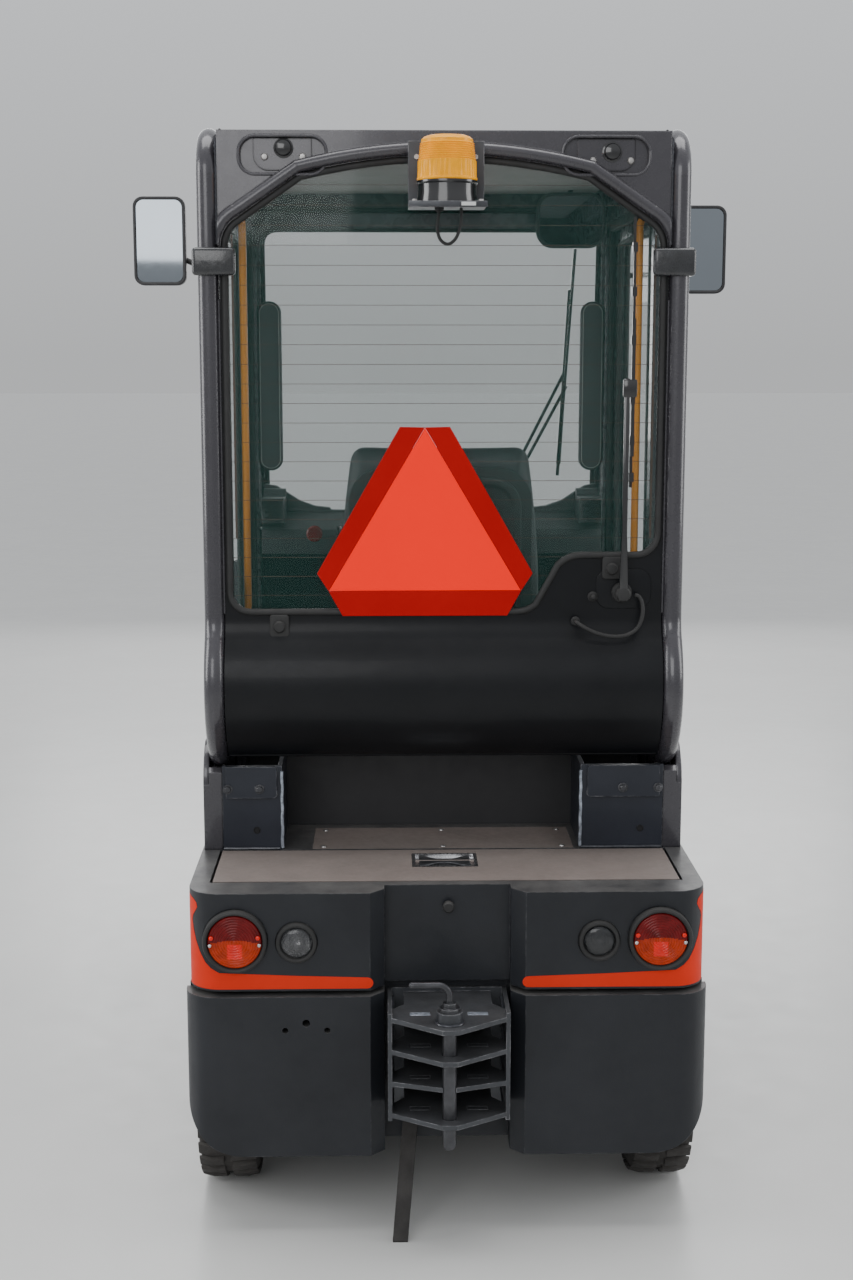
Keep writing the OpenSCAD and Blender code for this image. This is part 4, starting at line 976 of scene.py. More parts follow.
@dataclass
class Stripes(Assembly):
    """Orange bands that wrap round the rear corners."""

    half: float = 481
    back: float = -780
    corner: float = 60
    proud: float = 0.5
    edge: Sequence[Flat] = ((290, 503), (423, 509), (439, 518), (450, 528), (462, 546), (473, 567),
                            (481, 588), (485, 604), (481, 614), (473, 623), (467.5, 631), (470, 639),
                            (480, 645), (500, 649), (540, 651), (590, 650), (612, 640), (622, 618),
                            (634, 580), (660, 540), (704, 514), (770, 503), (905, 500))

    def build(self) -> None:
        """Cuts the band out flat, then lays it round the corner on each side."""
        outline = arc((149, 488), 10.5, 270, 90, 8) + list(self.edge) + arc((917, 488.5), 11.5, 90, -90, 8)
        band = Bench.sheet("stripe_right", outline, 0, 0.4)
        Bench.cut(band, range(200, 940, 8), (1, 0, 0))
        for vertex in band.data.vertices:
            vertex.co = self.wrap(vertex.co)
        Bench.outward(band)
        left = Bench.copy(band, "stripe_left", mirror=True)
        self.keep(band, Paint.STRIPE, "body_paint")
        self.keep(left, Paint.STRIPE, "body_paint")

    def wrap(self, point: Vector) -> Point:
        """Lays a point of the flat band on the body.

        Args:
            point: Distance along the body, height proud of it, and height above the floor.

        Returns:
            The point on the body.
        """
        run, out = point.x * MM_PER_M, self.proud - point.y * MM_PER_M
        bend = self.corner * math.pi / 2
        straight = self.half - self.corner
        if run <= straight:
            return mm(run, self.back - out, point.z * MM_PER_M)
        if run <= straight + bend:
            turn = (run - straight) / self.corner
            reach = self.corner + out
            return mm(straight + reach * math.sin(turn), self.back + self.corner - reach * math.cos(turn),
                      point.z * MM_PER_M)
        return mm(self.half + out, self.back + self.corner + run - straight - bend, point.z * MM_PER_M)


@dataclass
class RearWindow(Assembly):
    """Rubber seal and heater lines of the rear window."""

    left: float = -421
    right: float = 421
    low: float = 1137
    step: float = 1247
    side: float = 1900
    top: float = 2005
    glass: float = -505

    def outline(self) -> list[Flat]:
        """Outline of the window opening, anticlockwise from the lower left."""
        centre = (self.left + self.right) / 2
        return [*arc((self.left + 45, self.low + 45), 45, 180, 270, 6),
                *arc((self.right - 279, self.low + 62), 62, 270, 312, 4),
                *arc((self.right - 153, self.step - 62), 62, 132, 90, 4),
                *arc((self.right - 48, self.step + 48), 48, 270, 360, 6),
                *arc((self.right - 62, self.side - 62), 62, 0, 62, 5),
                *arc((centre, self.top - 1130), 1130, 76, 104, 12),
                *arc((self.left + 62, self.side - 62), 62, 118, 180, 5)]

    def build(self) -> None:
        """Builds the seal and the heater lines."""
        inner = inward(self.outline(), 6)
        bead = Bench.bead("window_rubber", [(x, self.glass - 1.5, z) for x, z in inner], 6.8, True, 4)
        self.keep(bead, Paint.RUBBER, "rubber", stands_for=("window_seal",))
        lines = []
        edge = inward(self.outline(), 13)
        level = self.low + 38
        while level < self.top - 30:
            low, high = self.width_at(edge, level)
            near, far = (low, self.glass + 5.1, level - 0.45), (high, self.glass + 5.35, level + 0.45)
            lines.append(Bench.box(f"line_{len(lines)}", near, far))
            level += 37
        for x in (self.left + 20, self.right - 20):
            near, far = (x - 2, self.glass + 5.1, self.step + 40), (x + 2, self.glass + 5.4, self.side - 40)
            lines.append(Bench.box(f"bus_{x}", near, far))
        self.group("heater_lines", lines, Paint.HEATER, "trim")

    @staticmethod
    def width_at(edge: Sequence[Flat], level: float) -> Flat:
        """Finds how far an outline reaches to each side at a height.

        Args:
            edge: The outline.
            level: The height.

        Returns:
            Its lowest and highest X at that height.
        """
        hits = []
        for (x0, z0), (x1, z1) in zip(edge, [*edge[1:], edge[0]]):
            if (z0 - level) * (z1 - level) < 0:
                hits.append(x0 + (x1 - x0) * (level - z0) / (z1 - z0))
        return min(hits), max(hits)


@dataclass
class Emblem(Assembly):
    """Triangular slow-vehicle emblem of three border strips round a bright middle."""

    middle: float = -37
    back: float = -515

    def build(self) -> None:
        """Builds the border strips and the middle."""
        strips = ((Paint.EMBLEM_RIM, ((-209, 1219), (-187, 1185), (0, 1500), (-48, 1501))),
                  (Paint.EMBLEM_RIM, ((187, 1185), (209, 1219), (48, 1501), (0, 1500))),
                  (Paint.EMBLEM_RIM, ((-160, 1136), (160, 1136), (187, 1185), (-187, 1185))),
                  (Paint.EMBLEM_MID, ((-186, 1185.5), (186, 1185.5), (0, 1499))))
        for index, (finish, corners) in enumerate(strips):
            outline = [(self.middle + x, z) for x, z in corners]
            strip = Bench.sheet(f"emblem_{index}", outline, self.back, self.back + 3)
            Bench.round_off(strip, 0.6, 1)
            self.keep(strip, finish, "emblem", stands_for=("emblem",) if index == 0 else ())


@dataclass
class Tyres(Assembly):
    """Solid tyres: ribbed walls and two rows of staggered tread blocks."""

    half: float = 56
    blocks: int = 30

    def build(self) -> None:
        """Builds one tyre at the middle and hangs a copy on each wheel."""
        pattern = Bench.together("tread", [self.carcass(), *self.lugs()])
        for node, at, body in (("tyre_front", (0, 550, 200), Body.FRONT),
                               ("tyre_rear_left", (-424, -510, 200), Body.REAR_LEFT),
                               ("tyre_rear_right", (424, -510, 200), Body.REAR_RIGHT)):
            copy = Bench.copy(pattern, node.replace("tyre", "treaded_tyre"), at)
            self.keep(copy, Paint.TYRE, "tyre", body, (node,), 40)
        bpy.data.objects.remove(pattern)

    def carcass(self) -> Piece:
        """Spins the tyre's body with its rings in the wall."""
        side = [(102.6, 17), (110, 12), (118, 6), (127, 3.5), (129, 2.2), (132, 2.2), (134, 3.4),
                (150, 1.6), (166, 1.2), (168, 0.6), (171, 0.6), (173, 1.8), (181, 3.2), (187, 7),
                (190.5, 14), (191, 24)]
        wall = [(r, self.half - h) for r, h in side]
        section = [(r, -h) for r, h in wall] + wall[::-1]
        return Bench.lathe("carcass", section, (0, 0, 0), Axis.X, 96)

    def lugs(self) -> list[Piece]:
        """Builds the tread blocks of both shoulders and the rib pieces between them."""
        plans = (((7, -13), (30, -9), (55, -15), (55, 12), (34, 14), (7, 8)),
                 ((-7, 13), (-30, 9), (-55, 15), (-55, -12), (-34, -14), (-7, -8)))
        made = []
        step = 360 / self.blocks
        for row, plan in enumerate(plans):
            lug = Bench.sheet(f"lug_{row}", plan, 188.5, 199.6, "Z")
            Bench.round_off(lug, 1.4, 2)
            for vertex in lug.data.vertices:
                over = max(0.0, abs(vertex.co.x) - 0.041) / 0.014
                if vertex.co.z > 0.19:
                    vertex.co.z -= 0.0055 * over * over
            for k in range(self.blocks):
                turn = Matrix.Rotation(math.radians((k + row / 2) * step), 4, "X")
                made.append(Bench.copy(lug, f"lug_{row}_{k}", turn=turn))
            bpy.data.objects.remove(lug)
        return made


@dataclass
class Hubs(Assembly):
    """Wheel nuts, hub caps and valves."""

    circle: float = 66
    nuts: int = 5
    cap: Sequence[Flat] = ((0, 40.3), (37, 40.3), (37, 43), (34, 45), (29, 45.5), (28, 50), (24, 52.5),
                           (0, 53.5))

    def build(self) -> None:
        """Dresses the three rims."""
        for side, name, at, body in ((1, "rear_right", (424, -510, 200), Body.REAR_RIGHT),
                                     (-1, "rear_left", (-424, -510, 200), Body.REAR_LEFT),
                                     (1, "front", (0, 550, 200), Body.FRONT)):
            nuts = []
            for k in range(self.nuts):
                turn = math.radians(360 / self.nuts * k + 90)
                y, z = at[1] + self.circle * math.cos(turn), at[2] + self.circle * math.sin(turn)
                nut = Bench.rod(f"nut_{k}", 11.5, 10, (at[0] + side * 27, y, z), Axis.X, 6)
                Bench.round_off(nut, 1.2, 1)
                stud = Bench.rod(f"stud_{k}", 5.2, 11, (at[0] + side * 33, y, z), Axis.X, 12)
                nuts += [nut, stud]
            valve = Bench.rod("valve", 4, 24, (at[0] + side * 27, at[1], at[2] - 84), Axis.X, 12)
            self.group("wheel_nuts_" + name, [*nuts, valve], Paint.ZINC, "steel_worn", body)
            if body is Body.FRONT:
                continue
            cap = Bench.lathe("hub_cap_" + name, self.cap, (abs(at[0]), at[1], at[2]), Axis.X, 48)
            if side < 0:
                Bench.flip(cap)
            self.keep(cap, Paint.RIM, "rim", body)


@dataclass
class Beacon(Assembly):
    """Amber warning light: fluted lens, base, bracket screws and a blank label."""

    x: float = 2
    y: float = -585
    shelf: float = 1904
    flutes: int = 36
    flute_depth: float = 0.022

    def build(self) -> None:
        """Builds the light and what holds it."""
        self.light()
        self.holder()

    def light(self) -> None:
        """Builds the fluted lens, its skirt and the core below."""
        at = (self.x, self.y, self.shelf)
        middle = Vector(mm(*at))
        section = [(0, 47), (54.5, 47), (55.5, 49), (55.5, 52), (54.3, 53), (54.0, 80)]
        for k in range(9):
            section += [(53.6 - 0.45 * k, 82.2 + 3.9 * k), (51.6 - 0.5 * k, 84.0 + 3.9 * k)]
        section += [(47.5, 120), (43, 124.5), (36, 127), (0, 127.3)]
        lens = Bench.lathe("beacon_dome", section, at, Axis.Z, 144)
        for vertex in lens.data.vertices:
            place = vertex.co - middle
            if 0.0515 < place.z < 0.0815 and Vector((place.x, place.y)).length > 0.05:
                turn = math.atan2(place.y, place.x)
                depth = 1 - self.flute_depth * ripple(turn, self.flutes)
                vertex.co = middle + Vector((place.x * depth, place.y * depth, place.z))
        self.keep(lens, Paint.AMBER, "amber", stands_for=("beacon_lens",), angle=26)
        profile = ((52.3, 7.4), (57, 7.4), (56.5, 14), (54.6, 24), (54.2, 40), (56.6, 43), (56.6, 46.6),
                   (52.3, 46.6))
        skirt = Bench.lathe("beacon_skirt", profile, at, Axis.Z, 64)
        self.keep(skirt, Paint.GLOSS, "plate_grey")
        profile = ((52.3, 46.8), (52.3, 46.95), (30, 46.95), (30, 46.8))
        cone = Bench.lathe("beacon_core", profile, at, Axis.Z, 48)
        self.keep(cone, Paint.STEEL, "plate_grey")

    def holder(self) -> None:
        """Builds the shelf's lip, the blank label, the screws and the lead's gland."""
        lip = Bench.box("shelf_lip", (self.x - 71, self.y - 65, self.shelf - 4),
                        (self.x + 71, self.y - 62.2, self.shelf + 7))
        Bench.round_off(lip, 1.2, 2)
        self.keep(lip, Paint.COUPLING, "plate_grey")
        label = Bench.box("beacon_label", (self.x + 24, self.y - 65.5, self.shelf - 1.5),
                          (self.x + 50, self.y - 65.1, self.shelf + 5))
        self.keep(label, Paint.LABEL, "plate_grey")
        screws = [Bench.rod(f"foot_screw_{s}", 4.5, 4, (self.x + s * 60, self.y - 48, self.shelf + 9),
                            Axis.Z, 12) for s in SIDES]
        screws += [Bench.rod(f"plate_screw_{s}", 5, 4, (self.x + s * 55, -531.4, self.shelf + 96), Axis.Y,
                             6) for s in SIDES]
        self.group("beacon_screws", screws, Paint.ZINC, "steel_worn")
        profile = ((0, -9), (6.5, -9), (6.5, -5), (8.5, -5), (8.5, 0), (5, 2), (0, 2))
        gland = Bench.lathe("beacon_gland", profile, (self.x - 14, self.y, self.shelf + 1), Axis.Z, 16)
        self.keep(gland, Paint.RUBBER, "rubber")


@dataclass
class Beam(Assembly):
    """Plates, fluted caps and screws in the two dished ends of the beam, welds and post collars."""

    back: float = -513
    flutes: int = 16
    flute_depth: float = 0.05

    def build(self) -> None:
        """Builds what sits in each dish, the beads and the collars."""
        self.dishes()
        self.seams()
        self.collars()

    def dishes(self) -> None:
        """Builds the plate, the fluted cap and the screws of each dish."""
        plates, caps, screws, lips = [], [], [], []
        for side, middle, lift in ((-1, -301, 2026), (1, 314, 2020)):
            x = side * 303
            ring = rounded((x - 82, 1970), (x + 82, 2040), 30, 8)
            lips.append(Bench.bead(f"dish_lip_{side}", [(px, self.back + 1.2, pz) for px, pz in ring],
                                   3.4, True, 3))
            outline = [*arc((x + 27, 2005), 28, 270, 360, 8), *arc((x + 51, 2032), 4, 0, 90, 3),
                       *arc((x - 51, 2032), 4, 90, 180, 3), *arc((x - 27, 2005), 28, 180, 270, 8)]
            plate = Bench.sheet(f"dish_plate_{side}", outline, self.back + 8.9, self.back + 5.4)
            Bench.round_off(plate, 0.7, 1)
            plates.append(plate)
            profile = ((0, 0), (18.5, 0), (18.5, 2), (16, 3), (15.8, 8), (13.5, 11), (7, 13), (0, 13.4))
            at = (middle, self.back + 5.3, lift - 8)
            cap = Bench.lathe(f"cap_{side}", profile, at, Axis.BACK, 48)
            across, _, up = mm(*at)
            for vertex in cap.data.vertices:
                away = Vector((vertex.co.x - across, vertex.co.z - up))
                if 0.0145 < away.length < 0.0165:
                    turn = math.atan2(away.y, away.x)
                    away *= 1 - self.flute_depth * ripple(turn, self.flutes)
                    vertex.co.x, vertex.co.z = across + away.x, up + away.y
            caps.append(cap)
            profile = ((0, 0), (7, 0), (7, 1.2), (5, 3.4), (0, 4))
            for step in SIDES:
                at = (middle + step * 35.5, self.back + 5.3, lift - 24)
                screws.append(Bench.lathe(f"dish_screw_{side}_{step}", profile, at, Axis.BACK, 20))
        self.group("dish_plates", [*plates, *lips], Paint.CAB, "cab_paint")
        self.group("dish_caps", caps, Paint.GLOSS, "trim")
        self.group("dish_screws", screws, Paint.ZINC, "steel_worn")

    def seams(self) -> None:
        """Builds the seam down each post and the weld at each end of the beam."""
        seams, welds = [], []
        for side in SIDES:
            run = [(side * 426.4, -506.5, z) for z in range(1140, 1780, 40)]
            seams.append(Bench.bead(f"post_seam_{side}", run, 2.2, sides=2))
        self.group("post_seams", seams, Paint.CAB, "cab_paint")
        for side in SIDES:
            run = [(side * (427.4 + 0.8 * math.sin(0.7 * z)), self.back + 4.4, z)
                   for z in range(1842, 2040, 5)]
            welds.append(Bench.bead(f"beam_weld_{side}", run, 3, sides=2))
        self.group("beam_welds", welds, Paint.WELD, "cab_paint")

    def collars(self) -> None:
        """Builds the moulded collar that clamps each rear post, with all its edges rounded."""
        plan = ((393.3, -528), (474.7, -528), (474.7, -490), (446.5, -490), (446.5, -508.9), (393.3, -508.9))
        made = []
        for side in SIDES:
            collar = Bench.sheet(f"collar_{side}", [(side * x, y) for x, y in plan], 1783.8, 1836.2, "Z")
            made.append(Bench.round_off(collar, 8, 4))
        self.group("post_collars", made, Paint.COLLAR, "trim")


@dataclass
class Wipers(Assembly):
    """Rear wiper with its spindle, arm, yoke and blade, and the front wiper."""

    x: float = 346
    pivot: float = 1180
    yoke: float = 1575
    glass: float = -505

    def build(self) -> None:
        """Builds both wipers."""
        self.rear()
        self.front()

    def rear(self) -> None:
        """Builds the rear wiper: boss, arm with its spring, yoke, and the blade in its bow."""
        y = self.glass
        profile = ((0, 0.4), (20, 0.4), (20, 9), (18, 12), (13, 13), (13, 22), (15, 24), (15, 32),
                   (12, 36), (0, 38))
        boss = Bench.lathe("wiper_boss", profile, (self.x, y, self.pivot), Axis.BACK, 40)
        self.keep(boss, Paint.RUBBER, "rubber", stands_for=("wipers",))
        low, high = self.pivot, self.yoke
        outline = [(self.x + x, z) for x, z in (
            (-9, low - 12), (9, low - 12), (8, low + 40), (5, low + 120), (5.5, high + 18), (-4.5, high + 18),
            (-5, low + 120), (-8, low + 40))]
        arm = Bench.sheet("wiper_arm", outline, y - 27, y - 36)
        Bench.round_off(arm, 2, 2)
        turns = [0.6 * k for k in range(96)]
        coil = [(self.x + 3 * math.cos(t), y - 29 + 3 * math.sin(t), self.pivot + 55 + 1.15 * t)
                for t in turns]
        spring = Bench.bead("wiper_spring", coil, 0.9, sides=1)
        yoke = self.block("wiper_yoke", (-7, -37, -18), (19, -23, 16))
        Bench.round_off(yoke, 3, 2)
        main = self.block("blade_bow", (9, -26, -130), (16, -19, 130))
        claws = [self.block(f"claw_{k}", (8, -24, z - 9), (17, -10, z + 9))
                 for k, z in enumerate((-170, -100, -20, 90, 180, 262))]
        rail = self.block("blade_rail", (10, -14, -190), (15, -9, 318))
        lip = self.block("blade_lip", (11.8, -9, -190), (13.2, -3, 318))
        outer = self.block("blade_outer", (10, -21, 120), (15, -16, 262))
        self.group("rear_wiper", [arm, yoke, main, *claws, outer], Paint.GLOSS, "trim")
        self.group("rear_blade", [rail, lip, spring], Paint.RUBBER, "rubber")

    def block(self, name: str, low: Point, high: Point) -> Piece:
        """Adds a box whose corners are measured from the yoke's place on the glass."""
        origin = (self.x, self.glass, self.yoke)
        return Bench.box(name, *(tuple(a + b for a, b in zip(origin, corner)) for corner in (low, high)))

    def front(self) -> None:
        """Builds the front wiper on the windscreen: spindle, two rods and the leaning blade."""
        spindle = Bench.rod("front_spindle", 11, 24, (158, 662, 1222), Axis.Y, 20)
        rods = [Bench.bead("front_rod_0", ((158, 668, 1222), (341, 636, 1590)), 4.2, sides=3),
                Bench.bead("front_rod_1", ((172, 668, 1222), (349, 637, 1560)), 4.2, sides=3)]
        bow = Bench.bead("front_bow", ((352, 611, 1800), (342, 634, 1580), (332, 655, 1360)), 6, sides=3)
        blade = Bench.bead("front_blade", ((362, 594, 1900), (330, 659, 1330)), 4.5, sides=2)
        self.group("front_wiper", [spindle, *rods, bow, blade], Paint.GLOSS, "trim")


@dataclass
class PanelFittings(Assembly):
    """Clips, the washer's nozzle and fitting, and the hem of the rear panel."""

    face: float = -505

    def build(self) -> None:
        """Builds the fittings."""
        clips = []
        for x, z in ((-320, 1117), (326, 1229)):
            pad = Bench.sheet(f"clip_{x}", rounded((x - 19, z - 23), (x + 19, z + 22), 7),
                              self.face - 0.3, self.face - 9)
            Bench.round_off(pad, 3, 3)
            profile = ((0, 8), (12, 8), (12, 12), (9, 15.5), (0, 16.5))
            knob = Bench.lathe(f"knob_{x}", profile, (x, self.face, z - 2), Axis.BACK, 28)
            clips += [pad, knob]
        profile = ((0, 0.3), (10, 0.3), (10, 4), (7, 6), (6, 14), (3, 17), (0, 17.5))
        nozzle = Bench.lathe("washer_nozzle", profile, (290, self.face, 1172), Axis.BACK, 28)
        profile = ((4.3, 8), (8.8, 8), (8.8, 13), (6.2, 14.5), (6.2, 22), (4.3, 22))
        fitting = Bench.lathe("washer_fitting", profile, (256, self.face, 1125), Axis.BACK, 24)
        self.group("panel_clips", [*clips, nozzle, fitting], Paint.RUBBER, "rubber")
        hem = Bench.bead("panel_hem", [(x, -477, 853.6) for x in range(-424, 425, 53)], 4.5, sides=3)
        self.keep(hem, Paint.PANEL, "cab_paint")


@dataclass
class FeetFittings(Assembly):
    """Bolts, holes and worn welds of the cab feet, and the caps of their wings."""

    back: float = -492

    def build(self) -> None:
        """Builds bolts, holes, welds and caps."""
        bolts, holes, welds = [], [], []
        for x in (-428, -365, 358, 428):
            profile = ((0, 0.2), (9.5, 0.2), (9.5, 2), (0, 2))
            washer = Bench.lathe(f"washer_{x}", profile, (x, self.back, 786), Axis.BACK, 24)
            head = Bench.rod(f"head_{x}", 6.8, 6, (x, self.back - 5, 786), Axis.Y, 6)
            Bench.round_off(head, 1, 1)
            bolts += [washer, head]
        for x, z in ((-372, 700), (395, 700)):
            profile = ((0, 0.2), (7, 0.2), (7, 0.9), (5.6, 1), (5.6, 0.5), (0, 0.5))
            holes.append(Bench.lathe(f"hole_{x}", profile, (x, -484, z), Axis.BACK, 20))
        for x, low, high in ((-321, 664, 826), (274.5, 664, 826)):
            run = [(x + 0.5 * math.sin(z * 0.9), -484.5, z) for z in range(low, high, 6)]
            welds.append(Bench.bead(f"corner_{x}", run, 3.2, sides=2))
        self.group("feet_bolts", bolts, Paint.WORN_STEEL, "steel_worn")
        self.group("feet_holes", holes, Paint.CHASSIS, "trim")
        self.group("feet_welds", welds, Paint.BARE_WELD, "bracket")
        beads = []
        for k, (start, end) in enumerate(((-438, -322), (276, 438))):
            run = [(x, -485.5 + 0.5 * math.sin(x), 662.6) for x in range(start, end, 7)]
            beads.append(Bench.bead(f"foot_bead_{k}", run, 3.4, sides=2))
        self.group("foot_beads", beads, Paint.WELD, "bracket")
        side_view = ((-485, 792), (-477, 824), (-463, 846), (-446, 863), (-430, 872), (-302, 872),
                     (-287, 858), (-287, 792))
        caps = []
        for side in SIDES:
            cap = Bench.sheet(f"wing_cap_{side}", side_view, side * 466.0, side * 477.4, "X")
            caps.append(Bench.round_off(cap, 1.2, 2))
        self.group("wing_caps", caps, Paint.CAB, "cab_paint")


@dataclass
class DeckFittings(Assembly):
    """Handle in the lid and the screws of the fixed plate."""

    def build(self) -> None:
        """Builds the handle's cup lining, its twin-lobed grip, and the screws."""
        tray = Bench.box("handle_tray", (-63.6, -611.6, 652.2), (63.6, -516.4, 653.4))
        rim = Bench.sheet("handle_rim", rounded((-63.4, -611.4), (63.4, -516.6), 5), 653.5, 659.6, "Z")
        Bench.inset(rim, looks(UPWARDS), 6)
        Bench.inset(rim, looks(UPWARDS, (0, -564, 0), 1), 0.2, -5)
        self.group("handle_cup", [tray, rim], Paint.STEEL, "steel_worn", Body.LID)
        outline = ((-50, -598), (-44, -600), (-14, -576), (14, -576), (44, -600), (50, -598), (50, -530),
                   (44, -528), (14, -552), (-14, -552), (-44, -528), (-50, -530))
        grip = Bench.sheet("handle_grip", outline, 655.2, 658.8, "Z")
        Bench.round_off(grip, 1.2, 2)
        self.keep(grip, Paint.WORN_STEEL, "steel_worn", Body.LID)
        profile = ((0, 0.1), (6, 0.1), (5, 2.2), (2.2, 2.6), (0, 1.4))
        heads = [Bench.lathe(f"plate_screw_{x}_{y}", profile, (x, y, 660), Axis.Z, 16)
                 for x in (-240, 0, 240) for y in (-468, -345)]
        self.group("plate_screws", heads, Paint.ZINC, "steel_worn")


@dataclass
class Coupling(Assembly):
    """Weld beads, fixing bolts and wear of the ladder coupling."""

    top: float = 447
    pitch: float = 61
    half: float = 112

    def build(self) -> None:
        """Builds beads along the plates, and the bolts below."""
        beads = []
        for level in range(4):
            z = self.top - 9 - self.pitch * level
            for side in SIDES:
                x = side * (self.half - 8.6)
                run = [(x + 0.5 * math.sin(y), y, z - 0.6) for y in range(-848, -716, 6)]
                beads.append(Bench.bead(f"plate_bead_{level}_{side}", run, 3, sides=2))
        self.group("coupling_welds", beads, Paint.WELD, "steel_dark")
        collar = [(x, y, 448.2) for x, y in arc((0, -874), 24.6, 0, 350, 35)]
        self.keep(Bench.bead("collar_weld", collar, 2.8, True, 2), Paint.WELD, "steel_dark")
        for level, finish in enumerate((Paint.BARE_WELD, Paint.COUPLING, Paint.COUPLING, Paint.COUPLING)):
            z = self.top - self.pitch * level
            plugs = []
            for side in SIDES:
                near, far = (side * 34.2, -839.8, z - 9), (side * 71.8, -824.2, z + 0.5)
                plug = Bench.box(f"plug_{level}_{side}", near, far)
                Bench.round_off(plug, 1.6, 2)
                plugs.append(plug)
            self.group(f"plug_welds_{level}", plugs, finish, "steel_dark")
        bolts = []
        for x in (-60, 60):
            head = Bench.rod(f"fix_bolt_{x}", 10.5, 8, (x, -720.6, 300), Axis.Y, 6)
            Bench.round_off(head, 1.2, 1)
            bolts.append(head)
        self.group("coupling_bolts", bolts, Paint.ZINC, "steel_worn")
        profile = ((0, 0), (9, 0), (9, 6), (11, 8), (11, 15), (8, 18), (0, 18.5))
        knob = Bench.lathe("recess_knob", profile, (2, -728.2, 620), Axis.BACK, 24)
        self.keep(knob, Paint.RUBBER, "rubber")


@dataclass
class Mirrors(Assembly):
    """Two outer mirrors on bent arms and the round-cornered inner one."""

    out: float = 668
    half_width: float = 64
    half_height: float = 107
    border: float = 8

    def build(self) -> None:
        """Builds the three mirrors."""
        self.outer()
        self.inner()

    def outer(self) -> None:
        """Builds the mirror outside each door post, on its bent arm."""
        for side, name, y, z in ((-1, "left", 555.8, 1914), (1, "right", 558.0, 1895)):
            x = side * self.out
            plan = rounded((x - self.half_width, z - self.half_height),
                           (x + self.half_width, z + self.half_height), 24)
            shell = Bench.sheet("mirror_shell_" + name, plan, y - 13, y + 13)
            Bench.inset(shell, looks(AHEAD), 12, 3)
            Bench.inset(shell, looks(BACKWARDS), 7)
            Bench.inset(shell, looks(BACKWARDS, (x, 0, z), 4), 1, -3)
            Bench.round_off(shell, 3, 3)
            width, height = self.half_width - self.border, self.half_height - self.border
            plan = rounded((x - width, z - height), (x + width, z + height), 18)
            glass = Bench.sheet("mirror_face_" + name, plan, y - 10.2, y - 12.2)
            self.keep(shell, Paint.TRIM, "trim", stands_for=("mirrors",) if side < 0 else ())
            self.keep(glass, Paint.MIRROR, "glass")
            route = smooth_path([(side * 466.5, y, z - 60), (side * 510, y + 4, z - 62),
                                 (side * 590, y + 12, z - 52), (side * 640, y + 16, z - 20),
                                 (x, y + 17, z)], 4)
            arm = Bench.bead("mirror_arm_" + name, route, 6.8, sides=4)
            foot = Bench.rod("mirror_foot_" + name, 17, 12, (side * 472.5, y, z - 60), Axis.X, 28)
            ball = Bench.ball("mirror_ball_" + name, (15, 11, 15), (x, y + 16, z), 20)
            self.group("mirror_hold_" + name, [arm, foot, ball], Paint.RUBBER, "trim")

    def inner(self) -> None:
        """Builds the mirror under the roof."""
        x, y, z = 333, 430, 1956
        ring = rounded((x - 83, z - 65), (x + 83, z + 65), 40, 8)
        case = Bench.sheet("inner_mirror", ring, y - 6, y + 12)
        Bench.round_off(case, 6, 3)
        rim = Bench.bead("inner_rim", [(px, y - 6, pz) for px, pz in inward(ring, 4)], 4.5, True, 3)
        face = Bench.sheet("inner_face", inward(ring, 6), y - 6, y - 7.4)
        route = ((x, y + 8, z + 50), (x, y + 10, z + 70), (x, y + 4, 2029))
        stalk = Bench.bead("inner_stalk", route, 6, sides=3)
        self.group("inner_case", [case, rim, stalk], Paint.TRIM, "trim")
        self.keep(face, Paint.MIRROR, "glass")


@dataclass
class RearPanel(Assembly):
    """The bulging rear panel with its smooth S in the side view and the window cut out."""

    face: float = -505
    bulge: float = 45
    radius: float = 170
    top: float = 1836
    turn_at: float = 1132
    centre: Flat = (-380, 990)
    half: float = 425.7
    sheet: float = 6

    def line(self, inset: float) -> list[Flat]:
        """Side view of one face of the panel, from the top to the hem."""
        bend = 2 * math.degrees(math.atan(self.bulge / (self.turn_at - self.centre[1])))
        hollow = self.bulge / (1 - math.cos(math.radians(bend))) - self.radius
        return [(self.face + inset, self.top),
                *arc((self.face - hollow, self.turn_at), hollow + inset, 0, -bend, 16),
                *arc(self.centre, self.radius - inset, 180 - bend, 236, 36)]

    def build(self) -> None:
        """Bends the sheet, cuts the window out of it and adds the pressing behind the wiper."""
        outline = self.line(0) + self.line(self.sheet)[::-1]
        panel = Bench.sheet("rear_panel_skin", outline, -self.half, self.half, "X")
        window = Bench.sheet("window_cutter", RearWindow().outline(), self.face - 20, self.face + 20)
        Bench.alone(panel)
        cut = panel.modifiers.new("window", "BOOLEAN")
        cut.operation = "DIFFERENCE"
        cut.solver = "EXACT"
        cut.object = window
        bpy.ops.object.modifier_apply(modifier=cut.name)
        bpy.data.objects.remove(window)
        self.keep(panel, Paint.PANEL, "cab_paint", stands_for=("rear_panel",), angle=24)
        cover = Bench.sheet("wiper_swage", rounded((296, 1148), (404, 1226), 26), self.face + 1,
                            self.face - 2.2)
        Bench.round_off(cover, 1.8, 3)
        self.keep(cover, Paint.PANEL, "cab_paint")


